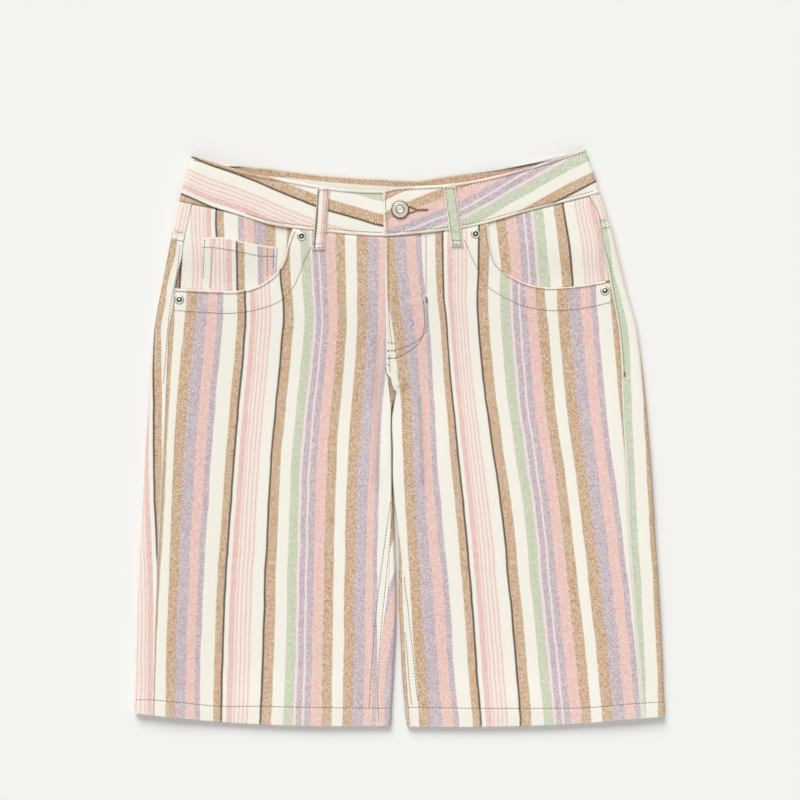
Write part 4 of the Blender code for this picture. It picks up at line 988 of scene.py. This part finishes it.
def patch(name, half, innerEdge, outerEdge, lowEdge, highEdge, depth, guides, wide, high, wearAt=None):
    part, rows = shares(wide, 1.8), shares(high, 1.8)

    def acrossAt(y):
        return mix(innerEdge(y), outerEdge(y), part)

    low = settle(np.full(part.shape, 140.0), lambda y: lowEdge(acrossAt(y)))
    top = settle(np.full(part.shape, 190.0), lambda y: highEdge(acrossAt(y)))
    y = low + (top - low) * rows[:, None]
    across = mix(innerEdge(y), outerEdge(y), part)
    x = half.sign * across
    shape, wear = (0.0, 0.0) if wearAt is None else wearAt(across, y, top)
    lift = raisedRelief(half, x, y, frontHeight(half, across, y)) + shape
    dive = 1.3 * smooth(-1.4, 1.2, across - half.seam(y)) + 2.6 * smooth(-1.2, 1.4, y - half.bandLine(across))
    outer = frontPoint(half, across, y, depth(across, y) + dive - lift)
    inner = frontPoint(half, across, y, depth(across, y) + dive - lift + cloth["thick"])
    piece = shell(name, outer, inner, stripesFrom(guides, y, x), y, np.broadcast_to(wear, y.shape))
    return piece


def coinRim(across, y, top):
    edge = np.minimum(top - y, np.minimum(across - coinCut["sides"][0] - 1, coinCut["sides"][1] - across))
    return rimShape(edge, 2.6, 0.25), 0.7 * (1 - smooth(1.2, 2.2, edge))


coinTop = through(coinCut["top"], 1, -1)
facingRight = patch("pocket_facing_right", right, lambda y: right.facingEnd + 0 * y,
                    lambda y: right.seam(y) + cloth["tuck"], right.facingLine, lambda a: right.bandLine(a) + 3.5,
                    lambda a, y: facingDepth(right, 2, a, y), rightFacingStripes, 128, 90)
facingLeft = patch("pocket_facing_left", left, lambda y: left.facingEnd + 0 * y,
                   lambda y: left.seam(y) + cloth["tuck"], left.facingLine, lambda a: left.bandLine(a) + 3.5,
                   lambda a, y: facingDepth(left, 1, a, y), leftFacingStripes, 128, 90)
coinPocket = patch("coin_pocket", right,
                   lambda y: coinCut["sides"][0] - coinCut["lean"] * (y - coinTop(coinCut["sides"][0])),
                   lambda y: coinCut["sides"][1] + 0 * y, lambda a: right.mouthLine(a) - coinCut["deep"], coinTop,
                   lambda a, y: facingDepth(right, 2, a, y) - cloth["over"], coinStripes, 70, 55,
                   coinRim)
print("pockets laid")


# waistband
bandDetail = {"across": 43.0, "edge": (0, 0.15, 0.45, 1.0, 1.7, 2.5, 3.4), "turnSteps": 16, "rim": 0.3,
              "rimWide": 3.0, "puff": 0.35, "wear": 0.65, "corner": 4.5, "overlap": (16, 52),
              "wornLow": {-1: (172, 140), 1: (999, 998)}, "wornHigh": {-1: (150, 60), 1: (130, 70)}}


def bandOverlap(x):
    return (cloth["bandThick"] + cloth["lay"]) * (1 - smooth(*bandDetail["overlap"], x))


def frontBand(name, half, lift, guides):
    lower, upper, out = bandEnds(half)
    inset = cloth["bandFold"]
    last = [half.band[-1][k] - out[k % 2] * inset for k in range(4)]
    stations = alongLine(list(half.band[:-1]) + [tuple(last)], 1.8)
    across = shares(bandDetail["across"], 1.7, bandDetail["edge"])
    lengths = np.concatenate([[0], np.cumsum(np.linalg.norm(np.diff(stations[:, :2], axis=0), axis=1))])
    places = np.concatenate([bandDetail["edge"][:-1], np.arange(3.6, lengths[-1] - 0.5, 1.8), [lengths[-1]]])
    stations = np.stack([np.interp(places, lengths, stations[:, k]) for k in range(4)], axis=1)
    corner = bandDetail["corner"] if half is left else 0.0
    r = cloth["bandFold"]
    turning = np.linspace(0, math.pi * r, bandDetail["turnSteps"] + 1)[1:]
    past = np.concatenate([turning, math.pi * r + np.array([1.5, 3, 4.2, 5, 5.6, 6])])
    t = across[None, :]
    x = mix(stations[:, 0:1], stations[:, 2:3], t)
    y = mix(stations[:, 1:2], stations[:, 3:4], t)
    if corner:
        up = np.clip(t * bandDetail["across"] - (bandDetail["across"] - corner), 0, corner)
        x = x + (corner - np.sqrt(corner ** 2 - up ** 2)) * np.maximum(0, 1 - places[:, None] / 20)
    lastX = mix(last[0], last[2], across)[None, :] + out[0] * past[:, None]
    lastY = mix(last[1], last[3], across)[None, :] + out[1] * past[:, None]
    flatX, flatY = np.concatenate([x, lastX]), np.concatenate([y, lastY])
    edge = np.minimum(across, 1 - across)[None, :] * bandDetail["across"]
    shape = rimShape(edge, bandDetail["rimWide"], bandDetail["rim"]) + bandDetail["puff"] * smooth(2.5, 9, edge)
    fromEnd = np.concatenate([places, places[-1] + past])[:, None]
    shape = shape + (rimShape(fromEnd, 3.0, 0.3) if half is left else 0)
    ripple = 0.12 * np.sin(flatX / 4.2 + np.sin(flatX / 13)) * (1 - smooth(3, 9, edge))
    shape = np.broadcast_to(shape + ripple, flatX.shape)
    worn = np.where(t < 0.5, smooth(*bandDetail["wornLow"][half.sign], half.sign * flatX),
                    smooth(*bandDetail["wornHigh"][half.sign], half.sign * flatX))
    wear = bandDetail["wear"] * (1 - smooth(1.2, 2.6, edge)) * worn
    if half is left:
        wear = np.maximum(wear, 0.6 * (1 - smooth(1.2, 2.6, fromEnd)))

    def surface(deep):
        level = cloth["bandTop"] + lift(x) + relief(x, y) * 0.6 + shape[:len(places)] - deep
        rows = [np.stack([x, y, level], axis=-1)]
        middle = cloth["bandTop"] - r
        for i, length in enumerate(past):
            turn = min(length / r, math.pi)
            wide = r - deep + shape[len(places) + i] * (0.5 + 0.5 * math.cos(turn))
            slide = wide * math.sin(turn) - max(length - math.pi * r, 0)
            rows.append(np.stack([mix(last[0], last[2], across) + out[0] * slide,
                                  mix(last[1], last[3], across) + out[1] * slide,
                                  middle + wide * math.cos(turn)], axis=-1)[None])
        return np.concatenate(rows)

    u = stripesFrom(guides, flatX, flatY)
    piece = shell(name, surface(0), surface(cloth["bandThick"]), u, fromEnd, wear, flip=True)
    return piece


def backBand(name):
    stations = alongLine(allBackBandRows(), 2.0)
    across = shares(bandDetail["across"], 1.8, bandDetail["edge"])
    t = across[None, :]
    x = mix(stations[:, 0:1], stations[:, 2:3], t)
    y = mix(stations[:, 1:2], stations[:, 3:4], t)
    edge = np.minimum(t, 1 - t) * bandDetail["across"]
    shape = rimShape(edge, 3.0, 0.25) + 0.15 * smooth(2.5, 9, edge) + 0 * x
    top = cloth["bandRise"] + cloth["bandThick"] + shape
    wear = 0.4 * (1 - smooth(0.4, 1.2, edge)) + 0 * x
    topU = through([(-190, 61), (-168, 60), (-152, 57.4), (-115, 56), (0, 55.7), (45, 56), (70, 57.2), (100, 57.6),
                    (115, 59), (150, 61.5)], 1)
    u = topU(x) - (1 - t) * bandDetail["across"]
    outer = np.stack([x, y, top], axis=-1)
    inner = np.stack([x, y, 0 * x + cloth["bandRise"] - 0.6 * rimShape(edge, 3.0, 0.25)], axis=-1)
    piece = shell(name, outer, inner, u, x, wear, flip=True)
    return piece


bandRight = frontBand("waistband_right", right, lambda x: 0.0, rightBandStripes)
bandLeft = frontBand("waistband_left", left, bandOverlap, leftBandStripes)
bandBack = backBand("waistband_back")
print("waistband laid")


# belt loops: name, half, x at the lower and upper end, u at the left edge
loopCut = {"wide": 11.5, "backDrop": 16.5, "short": 1.8, "thick": 1.2, "bow": 0.5, "endPuff": 0.5}
frontLoops = [("belt_loop_front_right", right, -77.2, -72.4, 18.0, 55.6),
              ("belt_loop_front_left", left, 55.0, 47.2, 16.7, 115.4)]
backLoops = [("belt_loop_back_right", -105.0, 116.0), ("belt_loop_back_middle", 4.0, 90.0),
             ("belt_loop_back_left", 105.0, 10.0)]


def loopGrid(height):
    across = np.array([0, 0.15, 0.45, 1.0, 1.8, 2.8, 4.2, 5.75, 7.3, 8.7, 9.7, 10.5, 11.05, 11.35, 11.5])
    rows = spread(height, 1.2, (0, 0.15, 0.45, 1.0, 1.8))
    return across, rows


def loopPiece(name, outer, inner, u, v, wear):
    piece = shell(name, outer, inner, u, v, wear, flip=True)
    under = "waistband_back" if "back" in name else "waistband_left" if "left" in name else "waistband_right"
    return piece


def frontLoop(name, half, lower, upper, drop, startU):
    lift = bandOverlap if half is left else (lambda x: 0.0)
    panelLift = flyLift if half is left else (lambda x, y: 0.0)
    seam = float(half.bandLine(abs(lower)))
    top = float(half.bandTopLine(abs(upper))) - loopCut["short"]
    low = seam - drop
    across, rows = loopGrid(top - low)
    y = low + rows[:, None] + 0 * across
    centre = mix(lower, upper, (y - low) / (top - low))
    x = centre + across - loopCut["wide"] / 2
    panel = frontHeight(half, np.abs(x), y) + panelLift(x, y)
    onBand = smooth(seam - 3.5, seam - 1, y)
    z = mix(panel, cloth["bandTop"] + lift(x) + bandDetail["puff"], onBand) + relief(x, y) * 0.8 + 0.35
    z = z + loopCut["bow"] * np.sin(math.pi * np.clip((y - seam) / (top - seam), 0, 1)) ** 0.7
    ends = np.maximum(1 - smooth(4.2, 5.4, rows), smooth(top - low - 3.6, top - low - 2.6, rows))[:, None]
    edge = np.minimum(across, loopCut["wide"] - across)[None, :]
    shape = rimShape(edge, 2.4, 0.18) + loopCut["endPuff"] * ends
    thick = loopCut["thick"] + shape
    wear = 0.5 * (1 - smooth(0.7, 1.6, edge)) + 0.2 * ends
    u = startU + across + 0 * y
    return loopPiece(name, np.stack([x, y, z + thick], axis=-1), np.stack([x, y, z], axis=-1), u, y, wear)


def backLoop(name, place, startU):
    upper = through([(row[2], row[3]) for row in allBackBandRows()], 1)
    low, high = float(backBandLine(place)) - loopCut["backDrop"], float(upper(place)) - loopCut["short"]
    across, rows = loopGrid(high - low)
    y = low + rows[:, None] + 0 * across
    x = place - loopCut["wide"] / 2 + across + 0 * y
    z = 0 * y
    edge = np.minimum(across, loopCut["wide"] - across)[None, :]
    wear = 0.5 * (1 - smooth(0.7, 1.6, edge)) + z
    return loopPiece(name, np.stack([x, y, z], axis=-1), np.stack([x, y, z + loopCut["thick"]], axis=-1),
                     startU + across + 0 * y, y, wear)


loops = [frontLoop(*row) for row in frontLoops] + [backLoop(*row) for row in backLoops]
print("belt loops laid")


# topstitching thread: short rounded stitches laid on the built cloth
sewing = {"long": 2.3, "gap": 0.85, "radius": 0.36, "sides": 6, "high": 0.22, "tackStep": 0.5, "tackWide": 1.7,
          "colour": (170, 147, 120), "deep": (134, 112, 88), "warm": (170, 136, 103), "warmDeep": (138, 106, 78)}


def threadMaterial(name, colour, deep):
    material, tree, shader = newMaterial(name)
    parts = addNode(tree, "ShaderNodeSeparateXYZ")
    tree.links.new(addNode(tree, "ShaderNodeUVMap", uv_map="strand").outputs[0], parts.inputs[0])
    turn = sums(tree, "MULTIPLY", parts.outputs[0], 2.0)
    turn = sums(tree, "ADD", turn, sums(tree, "MULTIPLY", parts.outputs[1], 1.1))
    ply = sums(tree, "MULTIPLY_ADD", sums(tree, "SINE", sums(tree, "MULTIPLY", turn, 2 * math.pi)), 0.5, 0.5)
    tree.links.new(mixColours(tree, ply, linear(*deep), linear(*colour)), shader.inputs["Base Color"])
    addBump(tree, shader, ply, 0.5, 0.0002)
    shader.inputs["Roughness"].default_value = 0.7
    shader.inputs["Specular IOR Level"].default_value = 0.3
    shader.inputs["Sheen Weight"].default_value = 0.1
    return material


threadBrown = threadMaterial("threadBrown", sewing["colour"], sewing["deep"])
threadWarm = threadMaterial("threadWarm", sewing["warm"], sewing["warmDeep"])
clothPieces = [frontRight, frontLeft, backRight, backLeft, yokeRight, yokeLeft, facingRight, facingLeft, coinPocket,
               bandRight, bandLeft, bandBack] + loops
bpy.context.view_layer.update()
depsgraph = bpy.context.evaluated_depsgraph_get()
trees = {piece.name.removesuffix("_cloth"): BVHTree.FromObject(piece, depsgraph) for piece in clothPieces}


def onCloth(names, x, y, below):  # height of the outermost cloth, seen from above or below
    start, way = (-0.05, 1) if below else (0.08, -1)
    best = None
    for name in names:
        hit = trees[name].ray_cast(Vector((x * mm, y * mm, start)), Vector((0, 0, way)))[0]
        if hit is not None and (best is None or (hit.z - best) * way < 0):
            best = hit.z
    return None if best is None else best / mm


def laid(names, flat, below, steep=2.5):  # strands of five points, dipping into the cloth at their ends
    rise = np.array([-0.15, 0.8, 1.0, 0.8, -0.15]) * sewing["high"] * (-0.3 if below else 1)
    strands = []
    for five in flat:
        heights = [onCloth(names, x, y, below) for x, y in five]
        if None in heights or max(heights) - min(heights) > steep:
            continue
        strands.append(np.column_stack([five, np.array(heights) + rise]))
    return strands


def dashes(names, line, below=False, steep=2.5):
    points = alongLine(line, sewing["long"] + sewing["gap"])
    inset = 0.5 * sewing["gap"] / (sewing["long"] + sewing["gap"])
    shares = np.linspace(inset, 1 - inset, 5)[:, None]
    return laid(names, [mix(a, b, shares) for a, b in zip(points[:-1], points[1:])], below, steep)


def sewn(names, lines, **how):
    return [strand for line in lines for strand in dashes(names, line, **how)]


def tack(names, a, b, wide=None, below=False):  # close zigzag from a to b
    a, b = np.array(a, dtype=float), np.array(b, dtype=float)
    length = np.linalg.norm(b - a)
    along = (b - a) / length
    side = np.array([-along[1], along[0]]) * (wide or sewing["tackWide"]) / 2
    count = max(2, round(length / sewing["tackStep"]))
    ends = [(a + along * length * i / count - side, a + along * length * (i + 0.6) / count + side)
            for i in range(count)]
    shares = np.linspace(0, 1, 5)[:, None]
    return laid(names, [mix(p, q, shares) for p, q in ends], below)


def threadPiece(name, strands, material=threadBrown, radius=None):
    radius = radius or sewing["radius"]
    sides = sewing["sides"]
    paths = np.array(strands)
    count, rings = paths.shape[:2]
    along = np.gradient(paths, axis=1)
    along /= np.linalg.norm(along, axis=2, keepdims=True)
    side = np.cross(along, (0, 0, 1))
    side /= np.linalg.norm(side, axis=2, keepdims=True)
    up = np.cross(side, along)
    angles = np.arange(sides) * 2 * math.pi / sides
    wide = radius * np.array([0.6, 1, 1, 1, 0.6])[None, :, None, None]
    outward = np.cos(angles)[:, None] * side[:, :, None] + np.sin(angles)[:, None] * up[:, :, None]
    ring = paths[:, :, None] + wide * outward
    first, last = paths[:, :1] - along[:, :1] * radius * 0.5, paths[:, -1:] + along[:, -1:] * radius * 0.5
    each = rings * sides + 2
    points = np.concatenate([ring.reshape(count, -1, 3), first, last], axis=1).reshape(-1, 3)
    faces, turns = [], []
    for i in range(rings - 1):
        for j in range(sides):
            k = (j + 1) % sides
            faces.append([i * sides + j, (i + 1) * sides + j, (i + 1) * sides + k, i * sides + k])
            turns.append([(j / sides, i), (j / sides, i + 1), ((j + 1) / sides, i + 1), ((j + 1) / sides, i)])
    for j in range(sides):
        k = (j + 1) % sides
        faces.append([each - 2, j, k])
        turns.append([(j / sides, 0), (j / sides, 0), ((j + 1) / sides, 0)])
        faces.append([each - 1, (rings - 1) * sides + k, (rings - 1) * sides + j])
        turns.append([(j / sides, rings), (j / sides, rings), ((j + 1) / sides, rings)])
    mesh = bpy.data.meshes.new(name)
    allFaces = [[i + n * each for i in face] for n in range(count) for face in faces]
    mesh.from_pydata((points * mm).tolist(), [], allFaces)
    layer = mesh.uv_layers.new(name="strand")
    layer.data.foreach_set("uv", np.tile(np.array([v for turn in turns for v in turn], dtype=float).ravel(), count))
    mesh.materials.append(material)
    mesh.shade_smooth()
    piece = bpy.data.objects.new(name, mesh)
    bpy.context.scene.collection.objects.link(piece)
    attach(piece, "root")
    return piece


def bandRow(half, share, low, high):  # a line of stitches along a front band
    rows = [(mix(r[0], r[2], share), mix(r[1], r[3], share)) for r in half.band]
    line = alongLine(rows, 2.0)
    return [p for p in line if low <= half.sign * p[0] <= high]


leftNames = ["front_left"]
sideNames = ["back_right", "yoke_right", "front_right", "back_left", "yoke_left", "front_left"]
threadPiece("thread_front_right", sewn(["front_right", "back_right"], rightLines.values()))
threadPiece("thread_front_left", sewn(["front_left", "back_left"], leftLines.values())
            + tack(leftNames, (25.8, 134.4), (25.8, 128.6)) + tack(leftNames, (196.6, 149.0), (201.6, 150.2)))
flyEdge = [(-10.1, 191), (-10.6, 131.8), (-9.2, 103.1), (-7.3, 88.8)]
flyBars = [[(-12, y + 0.8), (-3, y)] for y in (90.6, 83.0, 76.0)]
threadPiece("thread_fly_edge", sewn(leftNames, [flyEdge, *flyBars, [(-9.3, 80), (-9.3, 62.5)],
                                                [(-12.2, 71.4), (-9.0, 68.4)]]))
sideLines = {
    "right": [[(-209.1, 184.3), (-211.9, 161.4), (-217.4, 134.1), (-225.5, 51.6)], [(-214.2, 196.6), (-203.2, 194.4)],
              [(-214.5, 189.3), (-205.4, 187.2)]],
    "left": [[(181.4, 230), (190.5, 209.6), (192, 198.6), (195.1, 181.4), (200.6, 165.2), (203, 149.9),
              (205.5, 134.7), (210.5, 107.9), (213.3, 81.2), (214.7, 61.1)],
             [(190.2, 206.6), (201.5, 208.9)], [(192.4, 199.6), (203.6, 202)]]}
threadPiece("thread_side_right", sewn(sideNames, sideLines["right"], steep=4.5))
threadPiece("thread_side_left", sewn(sideNames, sideLines["left"], steep=4.5)
            + tack(sideNames, (214.7, 63.5), (214.9, 58.5)))
coinLines = [[(-185.7, 189.6), (-188.2, 142.8)], [(-177.2, 190.3), (-181.3, 142.8)],
             [(-120.3, 180.5), (-120.3, 162.3)], [(-126.2, 181.4), (-126.2, 154.7)],
             [(-188.2, 181.9), (-177.2, 181.4), (-161.2, 179), (-147.4, 176.4), (-132, 173.5), (-118, 173.5)]]
threadPiece("thread_coin_pocket", sewn(["coin_pocket"], coinLines))
bandEnd = [[(-11.1, 195.9), (2.1, 196.4)],
           [(-11.5, 196.6), (-11.8, 208.2), (-13.4, 226.0), (-12.4, 231.5), (-8.2, 235.2), (2.1, 236.4)]]
threadPiece("thread_band_left", sewn(["waistband_left"], bandEnd + [bandRow(left, share, 2.5, 186)
                                                                    for share in (0.073, 0.934)]))
threadPiece("thread_band_right", sewn(["waistband_right"], [bandRow(right, 0.085, 16, 146),
                                                            bandRow(right, 0.93, 16, 204)]))


def loopThreads(name, lower, upper, low, high):
    names = [name]
    rows = []
    for side in (-4.3, 4.3):
        rows += dashes(names, [(lower + side, low + 2), (upper + side, high - 2)])
    for y in (low + 1.9, low + 5.6, high - 2.2):
        centre = mix(lower, upper, (y - low) / (high - low))
        rows += dashes(names, [(centre - 5.0, y), (centre + 5.0, y)])
    return rows


for name, half, lower, upper, drop, startU in frontLoops:
    rows = loopThreads(name, lower, upper, float(half.bandLine(abs(lower))) - drop,
                       float(half.bandTopLine(abs(upper))) - loopCut["short"])
    threadPiece("thread_" + name, rows)
buttonhole = {"arms": [[(9.2, 220.1), (16.4, 217.3)], [(9.0, 213.6), (16.4, 216.4)]],
              "bar": [(15.8, 216.9), (27.4, 217.2)], "armWide": 1.9, "barWide": 2.5, "radius": 0.33}
holeRows = sum([tack(["waistband_left"], *arm, buttonhole["armWide"]) for arm in buttonhole["arms"]], [])
threadPiece("thread_buttonhole", holeRows + tack(["waistband_left"], *buttonhole["bar"], buttonhole["barWide"]),
            threadWarm, buttonhole["radius"])


def underLine(half, place, low, high, count=40):  # a line on the underside, from a rule for y
    x = np.linspace(low, high, count)
    return [(half.sign * a, float(place(a))) for a in x]


def underYoke(half, away):  # rows beside the yoke seam
    across = np.linspace(1.5 if half is left else 3.5, 205, 40)

    def seamAt(y):
        axis = half.side(y) - half.roll(y)
        return yokeSeam(half, axis + math.pi * half.roll(y) - across, y)

    y = settle(np.full(40, 175.0), seamAt, 0.7, 20)
    return [(half.sign * a, b - away) for a, b in zip(across, y)]


for half in (right, left):
    side = "right" if half is right else "left"
    names = ["back_" + side, "yoke_" + side]
    rows = dashes(names, underLine(half, lambda a: half.hem(a) + 17.4, 14, 238), below=True)
    for away in (2.2, 7.2):
        rows += dashes(names[:1], underYoke(half, away), below=True)
    threadPiece("thread_under_" + side, rows)
seatRows = [[(mix(-3.0, 2.0, smooth(43, 190, y)) + away, y) for y in np.linspace(58, 200, 30)] for away in (2.4, 7.4)]
threadPiece("thread_seat", sewn(["back_left", "yoke_left"], seatRows, below=True))
backRows = [[(mix(r[0], r[2], share), mix(r[1], r[3], share)) for r in allBackBandRows()] for share in (0.07, 0.93)]
rows = sewn(["waistband_back"], [row[1:-1] for row in backRows], below=True)
for name, place, startU in backLoops:
    low, high = float(backBandLine(place)) - loopCut["backDrop"], float(backBandLine(place)) + 40.6
    for side in (-4.3, 4.3):
        rows += dashes([name], [(place + side, low + 2), (place + side, high - 2)], below=True)
    for y in (low + 2.0, low + 6.0, high - 2.4):
        rows += tack([name], (place - 4.9, y), (place + 4.9, y), 1.3, below=True)
threadPiece("thread_back_band", rows)
print("topstitched")


# button and rivets: turned from a disc, ring by ring
metalFinish = {"pale": (236, 230, 213), "dark": (52, 38, 27), "roughness": 0.42, "darkRoughness": 0.6}


def metalMaterial(name, colour, roughness, metallic):
    material, tree, shader = newMaterial(name)
    place = addNode(tree, "ShaderNodeTexCoord")
    grain = addNode(tree, "ShaderNodeTexNoise")
    grain.inputs["Scale"].default_value = 900
    grain.inputs["Detail"].default_value = 3
    tree.links.new(place.outputs["Object"], grain.inputs["Vector"])
    patina = mixColours(tree, grain.outputs["Fac"], tuple(c * 0.84 for c in linear(*colour)), linear(*colour))
    tree.links.new(patina, shader.inputs["Base Color"])
    uneven = sums(tree, "MULTIPLY_ADD", grain.outputs["Fac"], 0.3, roughness - 0.15)
    tree.links.new(uneven, shader.inputs["Roughness"])
    addBump(tree, shader, grain.outputs["Fac"], 0.15, 0.0001)
    shader.inputs["Metallic"].default_value = metallic
    return material


paleMetal = metalMaterial("paleMetal", metalFinish["pale"], metalFinish["roughness"], 0.55)
darkMetal = metalMaterial("darkMetal", metalFinish["dark"], metalFinish["darkRoughness"], 0.3)


def turned(name, place, rings, node, slot, count=48):  # rings: radius, height, 1 where the metal is dark
    x, y, z = (v * mm for v in place)
    bpy.ops.object.select_all(action="DESELECT")
    bpy.ops.mesh.primitive_circle_add(vertices=count, radius=rings[0][0] * mm, fill_type="NGON",
                                      location=(x, y, z + rings[0][1] * mm))
    piece = bpy.context.object
    piece.name = piece.data.name = name
    bpy.ops.object.mode_set(mode="EDIT")
    bpy.ops.mesh.select_all(action="SELECT")
    for (radius, height, _), (nextRadius, nextHeight, _) in zip(rings, rings[1:]):
        bpy.ops.mesh.extrude_region_move(TRANSFORM_OT_translate={"value": (0, 0, (nextHeight - height) * mm)})
        share = nextRadius / radius
        bpy.ops.transform.resize(value=(share, share, 1), center_override=(x, y, z + nextHeight * mm))
    bpy.ops.mesh.select_all(action="SELECT")
    bpy.ops.mesh.normals_make_consistent(inside=False)
    bpy.ops.object.mode_set(mode="OBJECT")
    bpy.ops.object.transform_apply(location=True, rotation=True, scale=True)
    piece.data.materials.append(paleMetal)
    piece.data.materials.append(darkMetal)
    spans = [(sorted((a[0], b[0])), sorted((a[1], b[1])), b[2]) for a, b in zip(rings, rings[1:])]
    for face in piece.data.polygons:
        out = math.hypot(face.center.x - x, face.center.y - y) / mm
        high = (face.center.z - z) / mm
        for (near, far), (low, top), dark in spans:
            if near - 0.05 <= out <= far + 0.05 and low - 0.05 <= high <= top + 0.05:
                face.material_index = dark
    bpy.ops.object.shade_smooth_by_angle(angle=math.radians(40))
    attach(piece, "root")
    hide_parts(node)
    return piece


buttonRings = [(2.0, 0, 0), (2.0, 2.2, 0), (7.5, 2.3, 1), (8.3, 2.7, 1), (8.5, 3.4, 1), (8.4, 3.9, 1), (7.65, 4.1, 1),
               (7.45, 4.3, 0), (7.1, 4.55, 0), (6.8, 4.62, 0), (6.25, 4.6, 0), (6.1, 4.45, 1), (5.95, 4.45, 0),
               (5.8, 4.6, 0), (4.9, 4.65, 0), (4.3, 4.55, 0), (4.15, 4.1, 1), (3.7, 4.1, 1), (3.55, 4.5, 0),
               (3.1, 4.75, 0), (2.5, 4.8, 0), (2.1, 4.6, 0), (1.0, 4.5, 0)]
rivetRings = [(4.35, 0, 1), (4.4, 0.35, 1), (4.1, 0.7, 1), (3.85, 0.8, 0), (3.5, 1.05, 0), (3.0, 1.12, 0),
              (2.55, 1.0, 0), (2.35, 0.75, 1), (2.1, 0.3, 1), (0.95, 0.25, 1), (0.8, 0.6, 0), (0.4, 0.75, 0)]
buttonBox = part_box("button")
turned("jeans_button", [(buttonBox[0][k] + buttonBox[1][k]) / 2 / mm for k in (0, 1)] + [buttonBox[0][2] / mm],
       buttonRings, "button", "button_metal", 64)
for node in ("rivet_right_inner", "rivet_right_outer", "rivet_left_inner", "rivet_left_outer"):
    low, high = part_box(node)
    x, y = (low[0] + high[0]) / 2 / mm, (low[1] + high[1]) / 2 / mm
    z = onCloth(["front_right", "front_left"], x, y, False)
    turned(node + "_metal", (x, y, z - 0.25), rivetRings, node, "rivet_metal")
print("button and rivets set")
